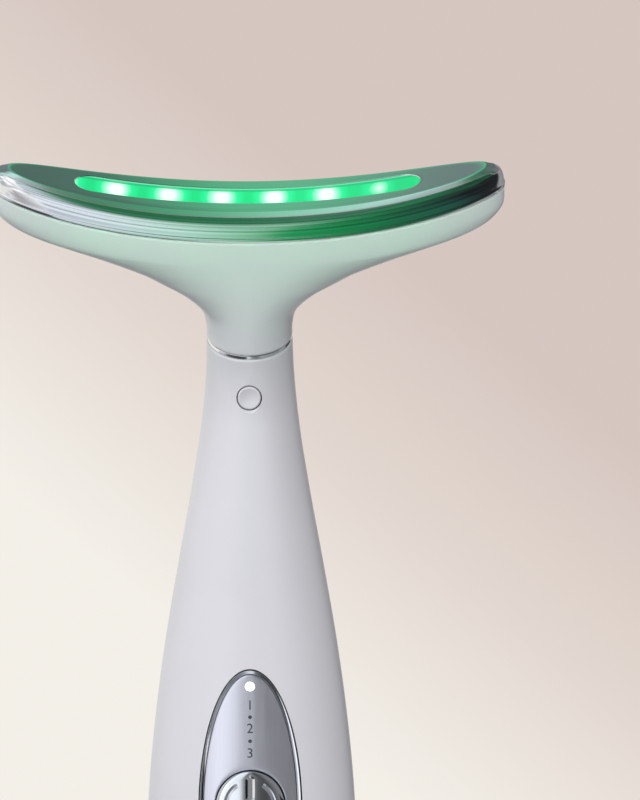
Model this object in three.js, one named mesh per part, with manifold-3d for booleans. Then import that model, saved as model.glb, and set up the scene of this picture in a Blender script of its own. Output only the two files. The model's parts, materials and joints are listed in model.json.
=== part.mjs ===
// Face and neck lifting device: a hand-held wand whose narrow neck bends forward into a crescent
// head. The head's concave working plate is chromed and holds a row of lamps behind a clear window.
// Millimetres. +Z is up along the handle, which stands on its flat base, and the front faces -Y.
// The origin is on the base plane, under the middle of the whole device.
import * as THREE from "three";
import { mergeVertices } from "three/addons/utils/BufferGeometryUtils.js";
import Module from "manifold-3d";

const wasm = await Module();
wasm.setup();

// Clearances that all the pieces share
const fit = 0.3; // between a piece and its seat
const slide = 0.2; // round a button in its hole
const seam = 0.1; // between two covers that close on each other
const overrun = 2; // how far a cutting solid runs past what it cuts

// Handle: a straight grip that widens downward, and a neck that bends forward
const gripLength = 119.6;
const bendRadius = 34;
const headTilt = THREE.MathUtils.degToRad(27);
const bendEnd = gripLength + bendRadius * headTilt; // along the spine
const gripWidth = 35.2;
const gripDepth = 27;
const neckWidth = 14.2;
const neckDepth = 17.4;
const handleWall = 2.2;
const gripPower = 2.3; // superellipse exponent of the grip's section; the neck's is 2
const handleSteps = 32;
const innerSteps = 16;
const gripRings = 11;
const bendRings = 4;
const leastRingShare = 0.1; // of the step between rings, kept clear beside a cut
// Rows of [place along the spine, width, depth], where 0 is the neck's size and 1 the grip's
const handleShapeShares = [
  [0, 0.75, 0.92],
  [0.1, 0.91, 0.98],
  [0.22, 0.99, 1],
  [0.34, 1, 0.98],
  [0.43, 0.96, 0.92],
  [0.52, 0.86, 0.79],
  [0.62, 0.69, 0.64],
  [0.72, 0.47, 0.45],
  [0.81, 0.26, 0.27],
  [0.89, 0.1, 0.1],
  [0.955, 0.02, 0.02],
  [1, 0, 0],
];

// Base cap, which closes the handle and carries its flat foot
const capHeight = 10;
const capFloor = 2.4;
const capRound = 2.2;
const capLipHeight = 5;
const capLipWall = 1.4;
const capRoundRings = 4;

// Neck joint: a bright ring between handle and head, round the head's spigot
const ringHeight = 0.65;
const ringInset = 0.15;
const spigotLength = 5;
const spigotWall = 1.2;

// Head: heights are along the head's own axis, from the middle of the neck joint
const headLength = 83.4;
const headDepth = 17.9;
const seamHeight = 20.8; // to the seam between housing and plate, in the middle
const faceRadius = 140; // of the concave face, seen from the front
const planLengthPower = 2.6;
const planDepthPower = 2.3;
const housingWall = 1.8;
const headSteps = 36;
const hollowSteps = 20;
const housingRings = 12;
const hollowRings = 6;
// Rows of [height, length, depth], where 0 is the neck's size and 1 the seam's
const housingShapeShares = [
  [0, 0, 0],
  [0.13, 0.002, -0.1],
  [0.295, 0.035, -0.2],
  [0.435, 0.139, -0.15],
  [0.525, 0.25, 0],
  [0.61, 0.373, 0.2],
  [0.715, 0.621, 0.45],
  [0.76, 0.777, 0.6],
  [0.795, 0.9, 0.75],
  [0.86, 0.98, 0.9],
  [1, 1, 1],
];

// Working plate: a thin metal cap with a bead, a bulged rim, a bevel and a concave face
const plateWall = 1;
const innerRowStep = 3; // the plate's inside follows every third row of the rim
const rimHeight = 4.4;
const faceInset = 3; // from the seam's outline in to the flat face
// Rows of [height up the rim, inset], as shares of the rim's height and of the face's inset
const rimShapeShares = [
  [0, 0],
  [0.09, -0.03],
  [0.17, 0.02],
  [0.2, 0.05],
  [0.38, 0.08],
  [0.55, 0.16],
  [0.7, 0.28],
  [0.8, 0.44],
  [0.83, 0.52],
  [1, 1],
];

// Lamp window, which leaves a band of the face free all round
const windowEnd = 13.7; // from the head's end to the window's
const windowBand = 2.95; // from the face's edge to the window's
const windowLength = headLength - 2 * windowEnd;
const windowWidth = headDepth - 2 * (faceInset + windowBand);
const windowSink = 0.25;
const windowThickness = 1.6;
const windowEndSteps = 8;

// Lamps in a row behind the window, and the board that carries them
const ledCount = 6;
const ledEnd = 2.44; // from the window's end to the first lamp's share of the row
const ledPitch = (windowLength - 2 * ledEnd) / ledCount;
const ledLength = 3.2;
const ledWidth = 2.8;
const ledHeight = 0.9;
const ledBoardOverhang = 1; // past each end of the window
const ledBoardLength = windowLength + 2 * ledBoardOverhang;
const ledBoardWidth = 5;
const ledBoardThickness = 0.8;

// Frame under the lamp board, and the heaters stuck under the plate beside the window
const frameOverhang = 6; // past each end of the window
const frameLength = windowLength + 2 * frameOverhang;
const frameInset = 3.3;
const frameThickness = 2;
const heaterLength = 4.6;
const heaterWidthShare = 0.335; // of the head's depth
const heaterWidth = headDepth * heaterWidthShare;
const heaterThickness = 0.4;

// Head screws, which pull the frame down on the housing's two posts
const headScrewGap = 3.4; // from the window's end to the screw's middle
const headScrewPlace = windowLength / 2 + headScrewGap;
const headPostRadius = 2;

// Screws of one kind through the whole device
const screwHeadRadius = 1.6;
const screwHeadHeight = 0.9;
const screwRadius = 0.8;
const screwSteps = 12;
const screwSlotWidth = 0.5;
const screwSlotDepth = 0.45;
const headScrewLength = 4.2;
const gripScrewLength = 9;

// Power button, whose height above the base places the panel, the board and the motor
const powerHeight = 58.5;
const powerRadius = 5.6;
const powerTravel = 0.6;
const powerProud = 0.7;
const powerChamfer = 0.5;
const powerFlange = 0.9;
const powerFlangeThickness = 0.8;
const powerSteps = 32;
// The mark cut in its face: an open ring and a bar
const markDepth = 0.3;
const markRadius = 4.05;
const markLine = 0.55;
const barWidth = 1.4;
const barTop = 5;
const barBottom = 0.6;
const markOpening = THREE.MathUtils.degToRad(62);

// Control panel: an oval inlay in the grip's front with a fine trim round it
const panelDrop = 0.9; // from the power button's middle to the panel's
const panelHeight = powerHeight - panelDrop;
const panelLength = 44.6;
const panelWidth = 15.4;
const panelThickness = 1.4;
const trimWidth = 0.6;
const trimProud = 0.12;
const panelSteps = 40;

// Status lamp near the top of the panel
const statusEnd = 2.1; // from the panel's top end
const statusHeight = panelHeight + panelLength / 2 - statusEnd;
const statusRadius = 0.9;
const statusLedWidth = 1.6;
const statusLedHeight = 0.9;
const statusLedDepth = 0.6;

// Neck button
const neckButtonDrop = 8.72; // from the neck joint, along the spine
const neckButtonPlace = bendEnd - neckButtonDrop;
const neckButtonRadius = 1.9;
const neckButtonTravel = 0.4;
const neckButtonDish = 0.25;
const dishEdgeShare = 0.75; // of the dish's depth, halfway out to its rim
const neckButtonFlange = 0.6;
const neckButtonFlangeThickness = 0.6;
const neckBoardLength = 7;
const neckBoardWidth = 7;
const neckBoardThickness = 1;
const neckSwitchSize = 4.2;
const neckSwitchHeight = 1.6;
const neckPlungerRadius = 0.9;
const neckPlungerLength = 2;
const neckRibThickness = 1.2;

// Main board, which also carries the charging socket
const boardFront = -5; // its front face, from the middle plane of the grip
const boardThickness = 1.6;
const boardWidth = 19;
const boardBottom = 2.9;
const boardRise = 3.2; // above the status lamp
const boardTop = statusHeight + boardRise;
const powerSwitchSize = 6;
const powerSwitchHeight = 3;
const powerPlungerRadius = 1.7;
const powerPlungerLength = 2;
const socketWidth = 8.9;
const socketThickness = 3.2;
const socketLength = 7.3;
const socketWall = 0.35;
const socketDepth = 6;
const socketBottom = 0.7;
const tongueWidth = 6.6;
const tongueThickness = 0.7;
const tongueLength = 4.4;

// Battery behind the main board, on a foam pad
const batteryLength = 38;
const batteryWidth = 19;
const batteryThickness = 8.5;
const batteryBottom = 15;
const batteryRound = 1.6;
const foamThickness = 0.8;

// Ribs across the grip that hold the board and the battery, and those round the motor
const ribThickness = 1.5;
const ribHeights = [21, 46];

// Vibration motor with an eccentric weight on its shaft
const motorGap = 4; // above the main board
const motorBottom = boardTop + motorGap;
const motorLength = 18;
const motorRadius = 5;
const motorSleeve = 1.1;
const motorSleeveLength = 14;
const motorBossRadius = 2.2;
const motorBossHeight = 1;
const shaftRadius = 0.75;
const shaftSunk = 4;
const weightGap = 1;
const weightRadius = 4.4;
const weightHeight = 5;
const weightHub = 1.6;
const motorSteps = 20;

// Screws under the panel, which hold the two halves of the handle together
const gripScrewRise = 11.1; // above the power button's middle
const gripScrewHeight = powerHeight + gripScrewRise;
const gripScrewSpread = 8.4;
const gripPostRadius = 2.2;

// Finishes
const housingWhite = finish(0xd6d5da, 0.38, 0);
const chrome = finish(0xd9dcdc, 0.12, 1);
const satinSilver = finish(0xc9cbd0, 0.3, 0.8);
const clearGreen = finish(0x38e08c, 0.2, 0);
const lampWhite = finish(0xf4fff8, 0.4, 0);
const boardGreen = finish(0x1f5c3a, 0.6, 0);
const innerPlastic = finish(0x9a9aa0, 0.6, 0);
const darkPlastic = finish(0x26262a, 0.5, 0);
const steel = finish(0xa8abb0, 0.35, 1);
const rubber = finish(0x333336, 0.85, 0);
const cellBlue = finish(0x3b5f9e, 0.45, 0.1);
const amberFilm = finish(0xb4722a, 0.5, 0.1);
const foamGrey = finish(0x6d6d72, 0.95, 0);

function finish(color, roughness, metalness) {
  return new THREE.MeshStandardMaterial({ color, roughness, metalness });
}

// Solids: geometry in, booleans, geometry out

function solid(geometry) {
  const bare = geometry.clone();
  bare.deleteAttribute("normal");
  bare.deleteAttribute("uv");
  const merged = mergeVertices(bare);
  return new wasm.Manifold(
    new wasm.Mesh({
      numProp: 3,
      vertProperties: new Float32Array(merged.attributes.position.array),
      triVerts: new Uint32Array(merged.index.array),
    }),
  );
}

function geometryOf(body) {
  const { vertProperties, triVerts } = body.getMesh();
  const geometry = new THREE.BufferGeometry();
  geometry.setAttribute("position", new THREE.BufferAttribute(vertProperties, 3));
  geometry.setIndex(new THREE.BufferAttribute(triVerts, 1));
  geometry.computeVertexNormals();
  return geometry;
}

function cut(body, ...tools) {
  return tools.reduce((left, tool) => left.subtract(tool), body);
}

function join(body, ...others) {
  return others.reduce((whole, other) => whole.add(other), body);
}

function part(name, body, material) {
  const mesh = new THREE.Mesh(geometryOf(body), material);
  mesh.name = name;
  return mesh;
}

// Lofts through rings of points. Each ring starts on +X, runs round and is symmetric about XZ,
// so its two ends are closed by strips across from each point to its mirror image.
function loft(rings) {
  const steps = rings[0].length;
  const index = [];
  for (let i = 0; i < rings.length - 1; i++) {
    for (let j = 0; j < steps; j++) {
      const next = (j + 1) % steps;
      const low = i * steps;
      const high = low + steps;
      index.push(low + j, low + next, high + next, low + j, high + next, high + j);
    }
  }
  const top = (rings.length - 1) * steps;
  for (let j = 0; j < steps / 2; j++) {
    const next = j + 1;
    const across = (steps - j) % steps;
    const nextAcross = steps - next;
    if (next !== nextAcross) {
      index.push(top + across, top + next, top + nextAcross, across, nextAcross, next);
    }
    if (j !== across) {
      index.push(top + across, top + j, top + next, across, next, j);
    }
  }
  const geometry = new THREE.BufferGeometry().setFromPoints(rings.flat());
  geometry.setIndex(index);
  return solid(geometry);
}

function signedPower(value, power) {
  return Math.sign(value) * Math.abs(value) ** power;
}

// Ring of a superellipse, with one exponent for its length and one for its depth
function superellipse(halfLength, halfDepth, lengthPower, depthPower, steps) {
  return Array.from({ length: steps }, (_, j) => {
    const angle = (2 * Math.PI * j) / steps;
    const x = halfLength * signedPower(Math.cos(angle), 2 / lengthPower);
    const y = halfDepth * signedPower(Math.sin(angle), 2 / depthPower);
    return new THREE.Vector3(x, y, 0);
  });
}

// Smooth curve through the rows of a table, whose first column is the place
function smooth(rows) {
  const places = rows.map((row) => row[0]);
  const values = rows.flatMap((row) => row.slice(1));
  const size = rows[0].length - 1;
  const curve = new THREE.CubicInterpolant(places, values, size, new Float32Array(size));
  return (place) => [...curve.evaluate(place)];
}

function mix(low, high, share) {
  return low + (high - low) * share;
}

// Prisms, cylinders and boxes

function prismAlongZ(shape, from, to, curveSegments = windowEndSteps) {
  const depth = to - from;
  const geometry = new THREE.ExtrudeGeometry(shape, { depth, curveSegments, bevelEnabled: false });
  return solid(geometry.translate(0, 0, from));
}

// The shape's first axis is X and its second is Z
function prismAlongY(shape, front, back, curveSegments = windowEndSteps) {
  const depth = back - front;
  const geometry = new THREE.ExtrudeGeometry(shape, { depth, curveSegments, bevelEnabled: false });
  return solid(geometry.rotateX(Math.PI / 2).translate(0, back, 0));
}

// The shape's first axis is Y and its second is Z
function prismAlongX(shape, width) {
  const geometry = new THREE.ExtrudeGeometry(shape, { depth: width, bevelEnabled: false });
  const turned = new THREE.Matrix4().makeBasis(
    new THREE.Vector3(0, 1, 0),
    new THREE.Vector3(0, 0, 1),
    new THREE.Vector3(1, 0, 0),
  );
  return solid(geometry.applyMatrix4(turned).translate(-width / 2, 0, 0));
}

function rodAlongZ(radius, from, to, x = 0, y = 0, steps = motorSteps) {
  const geometry = new THREE.CylinderGeometry(radius, radius, to - from, steps);
  return solid(geometry.rotateX(Math.PI / 2).translate(x, y, (from + to) / 2));
}

function rodAlongY(radius, front, back, x = 0, z = 0, steps = motorSteps) {
  const geometry = new THREE.CylinderGeometry(radius, radius, back - front, steps);
  return solid(geometry.translate(x, (front + back) / 2, z));
}

// Revolved about a line along Y, from a profile of [radius, y] that starts and ends on the line
function turnedAlongY(profile, z = 0, steps = motorSteps) {
  const points = profile.map(([radius, y]) => new THREE.Vector2(radius, y));
  return solid(new THREE.LatheGeometry(points, steps).translate(0, 0, z));
}

function box(x0, x1, y0, y1, z0, z1) {
  const geometry = new THREE.BoxGeometry(x1 - x0, y1 - y0, z1 - z0);
  return solid(geometry.translate((x0 + x1) / 2, (y0 + y1) / 2, (z0 + z1) / 2));
}

function stadium(length, width) {
  const radius = width / 2;
  const straight = length / 2 - radius;
  const shape = new THREE.Shape();
  shape.moveTo(-straight, -radius);
  shape.lineTo(straight, -radius);
  shape.absarc(straight, 0, radius, -Math.PI / 2, Math.PI / 2, false);
  shape.lineTo(-straight, radius);
  shape.absarc(-straight, 0, radius, Math.PI / 2, (3 * Math.PI) / 2, false);
  return shape;
}

// Handle: its spine, its rings and the solids between two places on the spine

const jointHalf = ringHeight / 2 + seam;
const spineLength = bendEnd + jointHalf;
const handleShape = smooth(handleShapeShares);

// Frame on the spine: straight up the grip, round the bend, and straight on into the head
function spineFrame(place) {
  const angle = THREE.MathUtils.clamp((place - gripLength) / bendRadius, 0, headTilt);
  const beyond = Math.max(0, place - bendEnd);
  const y = -bendRadius * (1 - Math.cos(angle)) - beyond * Math.sin(angle);
  const z = Math.min(place, gripLength) + bendRadius * Math.sin(angle) + beyond * Math.cos(angle);
  return new THREE.Matrix4().makeRotationX(angle).setPosition(0, y, z);
}

function handleSize(place) {
  const [widthShare, depthShare] = handleShape(place / spineLength);
  return {
    halfWidth: mix(neckWidth, gripWidth, widthShare) / 2,
    halfDepth: mix(neckDepth, gripDepth, depthShare) / 2,
    power: mix(2, gripPower, widthShare),
  };
}

function handleRing(place, inset, steps) {
  const { halfWidth, halfDepth, power } = handleSize(place);
  const ring = superellipse(halfWidth - inset, halfDepth - inset, power, power, steps);
  const frame = spineFrame(place);
  return ring.map((point) => point.applyMatrix4(frame));
}

function handlePlaces(from, to) {
  const grip = Array.from({ length: gripRings }, (_, i) => (gripLength * i) / gripRings);
  const bendStep = (bendEnd - gripLength) / bendRings;
  const bend = Array.from({ length: bendRings + 1 }, (_, i) => gripLength + bendStep * i);
  const least = (gripLength / gripRings) * leastRingShare;
  const inside = [...grip, ...bend].filter((place) => place > from + least && place < to - least);
  return [from, ...inside, to];
}

function handleCore(from, to, inset, steps = innerSteps) {
  return loft(handlePlaces(from, to).map((place) => handleRing(place, inset, steps)));
}

// Everything in front of the handle's middle plane, or behind it, less half the seam
function handleHalfSpace(side) {
  const places = handlePlaces(-overrun, spineLength + overrun);
  const shape = new THREE.Shape();
  const edge = places.map((place) => {
    const point = new THREE.Vector3(0, (side * seam) / 2, 0).applyMatrix4(spineFrame(place));
    return new THREE.Vector2(point.y, point.z);
  });
  const far = side * (gripDepth + headDepth);
  shape.setFromPoints([
    ...edge,
    new THREE.Vector2(far, edge.at(-1).y),
    new THREE.Vector2(far, edge[0].y),
  ]);
  return prismAlongX(shape, gripWidth + overrun);
}

// Y of the grip's front face at a height above the base and a distance from its middle plane
function frontAt(height, x = 0) {
  const { halfWidth, halfDepth, power } = handleSize(height);
  return -halfDepth * (1 - (x / halfWidth) ** power) ** (1 / power);
}

// Places of what is stacked behind the grip's front

const powerWallBack = frontAt(powerHeight) + handleWall;
const powerBack = powerWallBack + fit + powerFlangeThickness;
const powerFront = frontAt(powerHeight) - powerProud;
const boardBack = boardFront + boardThickness;
const powerSwitchFront = boardFront - seam - powerSwitchHeight;
const foamFront = boardBack + seam;
const batteryFront = foamFront + foamThickness + seam;
const batteryBack = batteryFront + batteryThickness;
const socketFront = boardBack + seam;
const socketMiddle = socketFront + socketThickness / 2;
const screwEdge = gripScrewSpread / 2 + screwHeadRadius;
const screwSeat = frontAt(gripScrewHeight, screwEdge) + panelThickness + fit + screwHeadHeight;
const screwFloor = screwSeat + screwHeadHeight;
const gripScrewPlaces = [-gripScrewSpread / 2, gripScrewSpread / 2];
const motorTop = motorBottom + motorLength;
const sleeveOuter = motorRadius + fit + motorSleeve;
const sleeveBottom = motorBottom + (motorLength - motorSleeveLength) / 2;

// Places of what is stacked behind the neck's front, in the spine's frame at the neck button

const neckFrame = spineFrame(neckButtonPlace);
const neckFront = -handleSize(neckButtonPlace).halfDepth;
const neckButtonBack = neckFront + handleWall + fit + neckButtonFlangeThickness;
const neckPlungerFront = neckButtonBack + fit;
const neckSwitchFront = neckPlungerFront + neckButtonTravel + fit;
const neckBoardFront = neckSwitchFront + neckSwitchHeight + seam;

// Oval prism from the grip's front to its middle, grown by a margin
function panelPrism(margin) {
  const shape = new THREE.Shape();
  const halfWidth = panelWidth / 2 + margin;
  const halfLength = panelLength / 2 + margin;
  shape.absellipse(0, panelHeight, halfWidth, halfLength, 0, 2 * Math.PI, false, 0);
  return prismAlongY(shape, -gripDepth, 0, panelSteps / 2);
}

function panelRecess() {
  const floor = handleCore(-overrun, spineLength, panelThickness + fit, handleSteps);
  return cut(panelPrism(trimWidth + fit), floor);
}

function boardRibs() {
  const halfCore = batteryWidth / 2 + fit;
  const ribs = ribHeights.map((height) => {
    const slice = handleCore(height, height + ribThickness, handleWall - seam);
    const middle = [-halfCore, halfCore, boardFront - fit, batteryBack + fit];
    return cut(slice, box(...middle, height - overrun, height + ribThickness + overrun));
  });
  return join(...ribs);
}

function motorRibs() {
  const low = sleeveBottom + ribThickness;
  const high = sleeveBottom + motorSleeveLength - 2 * ribThickness;
  const ribs = [low, high].map((height) => {
    const slice = handleCore(height, height + ribThickness, handleWall - seam);
    return cut(slice, rodAlongZ(sleeveOuter + fit, height - overrun, height + ribThickness + overrun));
  });
  return join(...ribs);
}

function neckRib() {
  const from = neckButtonPlace - (neckBoardLength + neckRibThickness) / 2;
  const slice = handleCore(from, from + neckRibThickness, handleWall - seam);
  const halfWidth = neckBoardWidth / 2 + fit;
  const front = neckBoardFront - fit;
  const back = neckBoardFront + neckBoardThickness + fit;
  const geometry = geometryOf(
    box(-halfWidth, halfWidth, front, back, -neckBoardLength, neckBoardLength),
  );
  return cut(slice, solid(geometry.applyMatrix4(spineFrame(neckButtonPlace))));
}

function shellWall() {
  const outer = handleCore(capHeight + seam, bendEnd, 0, handleSteps);
  const inner = handleCore(capHeight - overrun, bendEnd + overrun, handleWall);
  return join(cut(outer, inner), boardRibs(), motorRibs(), neckRib());
}

// Holes and pockets for the two buttons

function neckButtonHole() {
  const ledge = neckFront + handleWall;
  const hole = rodAlongY(neckButtonRadius + slide, neckFront - overrun, ledge + fit);
  const pocket = rodAlongY(neckButtonRadius + neckButtonFlange + fit, ledge, 0);
  return solid(geometryOf(join(hole, pocket)).applyMatrix4(neckFrame));
}

function powerHole() {
  return rodAlongY(powerRadius + slide, -gripDepth, powerBack, 0, powerHeight, powerSteps);
}

function powerPocket() {
  const radius = powerRadius + powerFlange + fit;
  return rodAlongY(radius, powerWallBack, boardFront, 0, powerHeight, powerSteps);
}

function makeFrontShell(wall) {
  const skin = handleCore(capHeight + seam, bendEnd, panelThickness + fit);
  const bosses = gripScrewPlaces.map((x) => {
    const outer = gripPostRadius + fit + screwHeadHeight;
    return rodAlongY(outer, -gripDepth, screwFloor, x, gripScrewHeight).intersect(skin);
  });
  const pockets = gripScrewPlaces.flatMap((x) => [
    rodAlongY(screwHeadRadius + fit, -gripDepth, screwSeat, x, gripScrewHeight),
    rodAlongY(screwRadius + fit, -gripDepth, screwFloor + overrun, x, gripScrewHeight),
  ]);
  const statusHole = rodAlongY(statusRadius + fit, -gripDepth, boardFront, 0, statusHeight);
  const half = wall.intersect(handleHalfSpace(-1));
  const drilled = cut(join(half, ...bosses), ...pockets, powerHole(), powerPocket(), statusHole);
  return cut(drilled, panelRecess(), neckButtonHole());
}

function makeBackShell(wall) {
  const skin = handleCore(capHeight + seam, bendEnd, handleWall - seam);
  const posts = gripScrewPlaces.map((x) => {
    const post = rodAlongY(gripPostRadius, screwFloor + fit, gripDepth, x, gripScrewHeight);
    return post.intersect(skin);
  });
  const bore = gripScrewLength - screwHeadHeight + fit;
  const pilots = gripScrewPlaces.map((x) =>
    rodAlongY(screwRadius + seam, screwFloor, screwSeat + bore, x, gripScrewHeight),
  );
  return cut(join(wall.intersect(handleHalfSpace(1)), ...posts), ...pilots);
}

function makeBaseCap() {
  const rounded = Array.from({ length: capRoundRings }, (_, i) => {
    const angle = (Math.PI / 2) * (i / capRoundRings);
    const inset = capRound * (1 - Math.sin(angle));
    return handleRing(capRound * (1 - Math.cos(angle)), inset, handleSteps);
  });
  const straight = handlePlaces(capRound, capHeight).map((place) => handleRing(place, 0, handleSteps));
  const outer = loft([...rounded, ...straight]);
  const hollow = handleCore(capFloor, capHeight + overrun, handleWall);
  const lipTop = capHeight + capLipHeight;
  const lipInset = handleWall + fit;
  const lipRoot = handleCore(capHeight - capLipHeight / 2, capHeight, handleWall - seam);
  const lip = join(lipRoot, handleCore(capHeight - overrun / 2, lipTop, lipInset));
  const bore = handleCore(capFloor, lipTop + overrun, lipInset + capLipWall);
  const mouth = prismAlongZ(
    stadium(socketWidth + 2 * fit, socketThickness + 2 * fit),
    -overrun,
    capFloor + overrun,
  );
  const placed = solid(geometryOf(mouth).translate(0, socketMiddle, 0));
  return cut(join(cut(outer, hollow), cut(lip, bore)), placed);
}

function makeControlPanel() {
  const skin = handleCore(-overrun, spineLength, 0, handleSteps);
  const floor = handleCore(-overrun, spineLength, panelThickness, handleSteps);
  const statusHole = rodAlongY(statusRadius + seam, -gripDepth, boardFront, 0, statusHeight);
  return cut(panelPrism(-seam).intersect(skin), floor, powerHole(), statusHole);
}

function makePanelTrim() {
  const skin = handleCore(-overrun, spineLength, -trimProud, handleSteps);
  const floor = handleCore(-overrun, spineLength, panelThickness, handleSteps);
  return cut(panelPrism(trimWidth).intersect(skin), floor, panelPrism(0));
}

// Power mark: a ring left open at the top, with a bar in the opening
function powerMark() {
  const ring = new THREE.Shape();
  const start = Math.PI / 2 + markOpening / 2;
  const end = Math.PI / 2 - markOpening / 2 + 2 * Math.PI;
  ring.absarc(0, powerHeight, markRadius + markLine / 2, start, end, false);
  ring.absarc(0, powerHeight, markRadius - markLine / 2, end, start, true);
  const floor = powerFront + markDepth;
  const bottom = powerHeight + barBottom - barWidth;
  const bar = box(-barWidth / 2, barWidth / 2, powerFront - overrun, floor, bottom, powerHeight + barTop);
  return join(prismAlongY(ring, powerFront - overrun, floor, powerSteps / 2), bar);
}

function makePowerButton() {
  const flangeFront = powerBack - powerFlangeThickness;
  const profile = [
    [0, powerFront],
    [powerRadius - powerChamfer, powerFront],
    [powerRadius, powerFront + powerChamfer],
    [powerRadius, flangeFront],
    [powerRadius + powerFlange, flangeFront],
    [powerRadius + powerFlange, powerBack],
    [0, powerBack],
  ];
  return cut(turnedAlongY(profile, powerHeight, powerSteps), powerMark());
}

const plungerFront = powerBack + seam;

function makePowerPlunger() {
  const back = plungerFront + powerPlungerLength;
  return rodAlongY(powerPlungerRadius, plungerFront, back, 0, powerHeight);
}

function makePowerSwitch() {
  const half = powerSwitchSize / 2;
  const body = box(-half, half, powerSwitchFront, boardFront - seam, powerHeight - half, powerHeight + half);
  const well = plungerFront + powerPlungerLength + powerTravel + fit;
  const bore = rodAlongY(powerPlungerRadius + fit, powerSwitchFront - overrun, well, 0, powerHeight);
  return cut(body, bore);
}

function makeMainBoard() {
  const half = boardWidth / 2;
  const plate = box(-half, half, boardFront, boardBack, boardBottom, boardTop);
  const holes = gripScrewPlaces.map((x) =>
    rodAlongY(gripPostRadius + fit, boardFront - overrun, boardBack + overrun, x, gripScrewHeight),
  );
  return cut(plate, ...holes);
}

function makeSocket() {
  const top = socketBottom + socketLength;
  const shell = prismAlongZ(stadium(socketWidth, socketThickness), socketBottom, top);
  const inner = stadium(socketWidth - 2 * socketWall, socketThickness - 2 * socketWall);
  const hollow = prismAlongZ(inner, socketBottom - overrun, socketBottom + socketDepth);
  const tip = socketBottom + socketDepth - tongueLength;
  const halfWidth = tongueWidth / 2;
  const halfThickness = tongueThickness / 2;
  const tongue = box(-halfWidth, halfWidth, -halfThickness, halfThickness, tip, top - seam);
  return join(cut(shell, hollow), tongue);
}

function makeStatusLed() {
  const half = statusLedWidth / 2;
  const back = boardFront - seam;
  const low = statusHeight - statusLedHeight / 2;
  return box(-half, half, back - statusLedDepth, back, low, low + statusLedHeight);
}

function makeStatusPipe() {
  const back = boardFront - seam - statusLedDepth - fit;
  return rodAlongY(statusRadius, frontAt(statusHeight), back, 0, statusHeight);
}

function makeBattery() {
  const half = batteryWidth / 2 - batteryRound;
  const halfThickness = batteryThickness / 2 - batteryRound;
  const shape = new THREE.Shape();
  shape.absarc(half, halfThickness, batteryRound, 0, Math.PI / 2, false);
  shape.absarc(-half, halfThickness, batteryRound, Math.PI / 2, Math.PI, false);
  shape.absarc(-half, -halfThickness, batteryRound, Math.PI, (3 * Math.PI) / 2, false);
  shape.absarc(half, -halfThickness, batteryRound, (3 * Math.PI) / 2, 2 * Math.PI, false);
  return prismAlongZ(shape, batteryBottom, batteryBottom + batteryLength, windowEndSteps / 2);
}

function makeFoam() {
  const half = batteryWidth / 2 - batteryRound;
  const low = batteryBottom + batteryRound;
  const high = batteryBottom + batteryLength - batteryRound;
  return box(-half, half, foamFront, foamFront + foamThickness, low, high);
}

function makeMotor() {
  const can = rodAlongZ(motorRadius, motorBottom, motorTop);
  const boss = rodAlongZ(motorBossRadius, motorTop - overrun, motorTop + motorBossHeight);
  const bore = rodAlongZ(shaftRadius + fit, motorTop - shaftSunk - fit, motorTop + overrun);
  return cut(join(can, boss), bore);
}

function makeMotorSleeve() {
  const high = sleeveBottom + motorSleeveLength;
  const outer = rodAlongZ(sleeveOuter, sleeveBottom, high);
  return cut(outer, rodAlongZ(motorRadius + fit, sleeveBottom - overrun, high + overrun));
}

// Half a disc on a round hub, fixed on the shaft
function makeWeight() {
  const low = motorTop + motorBossHeight + weightGap;
  const high = low + weightHeight;
  const disc = rodAlongZ(weightRadius, low, high);
  const heavySide = box(-weightRadius, weightRadius, 0, weightRadius, low, high);
  const hub = rodAlongZ(weightHub, low, high);
  const shaft = rodAlongZ(shaftRadius, motorTop - shaftSunk, high + shaftRadius);
  return join(disc.intersect(heavySide), hub, shaft);
}

function makeGripScrew(x) {
  const top = screwSeat - screwHeadHeight;
  const tip = top + gripScrewLength;
  const neck = top + screwSlotDepth;
  const head = rodAlongY(screwHeadRadius, top, screwSeat - seam, x, gripScrewHeight, screwSteps);
  const shank = rodAlongY(screwRadius, neck, tip, x, gripScrewHeight, screwSteps);
  const half = screwHeadRadius / 2;
  const low = gripScrewHeight - screwSlotWidth / 2;
  const drive = box(x - half, x + half, top - overrun, top + screwSlotDepth, low, low + screwSlotWidth);
  return cut(join(head, shank), drive);
}

function makeNeckButton() {
  const flangeFront = neckButtonBack - neckButtonFlangeThickness;
  const rim = neckButtonRadius - neckButtonDish;
  const profile = [
    [0, neckFront + neckButtonDish],
    [rim / 2, neckFront + neckButtonDish * dishEdgeShare],
    [rim, neckFront],
    [neckButtonRadius, neckFront + neckButtonDish],
    [neckButtonRadius, flangeFront],
    [neckButtonRadius + neckButtonFlange, flangeFront],
    [neckButtonRadius + neckButtonFlange, neckButtonBack],
    [0, neckButtonBack],
  ];
  return turnedAlongY(profile);
}

function makeNeckPlunger() {
  return rodAlongY(neckPlungerRadius, neckPlungerFront, neckPlungerFront + neckPlungerLength);
}

function makeNeckSwitch() {
  const half = neckSwitchSize / 2;
  const body = box(-half, half, neckSwitchFront, neckBoardFront - seam, -half, half);
  return cut(body, rodAlongY(neckPlungerRadius + fit, neckSwitchFront - overrun, neckBoardFront + overrun));
}

function makeNeckBoard() {
  const half = neckBoardWidth / 2;
  const back = neckBoardFront + neckBoardThickness;
  const plate = box(-half, half, neckBoardFront, back, -neckBoardLength / 2, neckBoardLength / 2);
  const relief = rodAlongY(neckPlungerRadius + fit, neckBoardFront - overrun, back + overrun);
  return cut(plate, relief);
}

// Head, in its own frame: the neck joint's middle is the origin and the head's axis is Z

const housingShape = smooth(housingShapeShares);
const seamLevel = 1;

function faceLift(x) {
  return faceRadius - Math.sqrt(faceRadius ** 2 - x ** 2);
}

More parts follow.
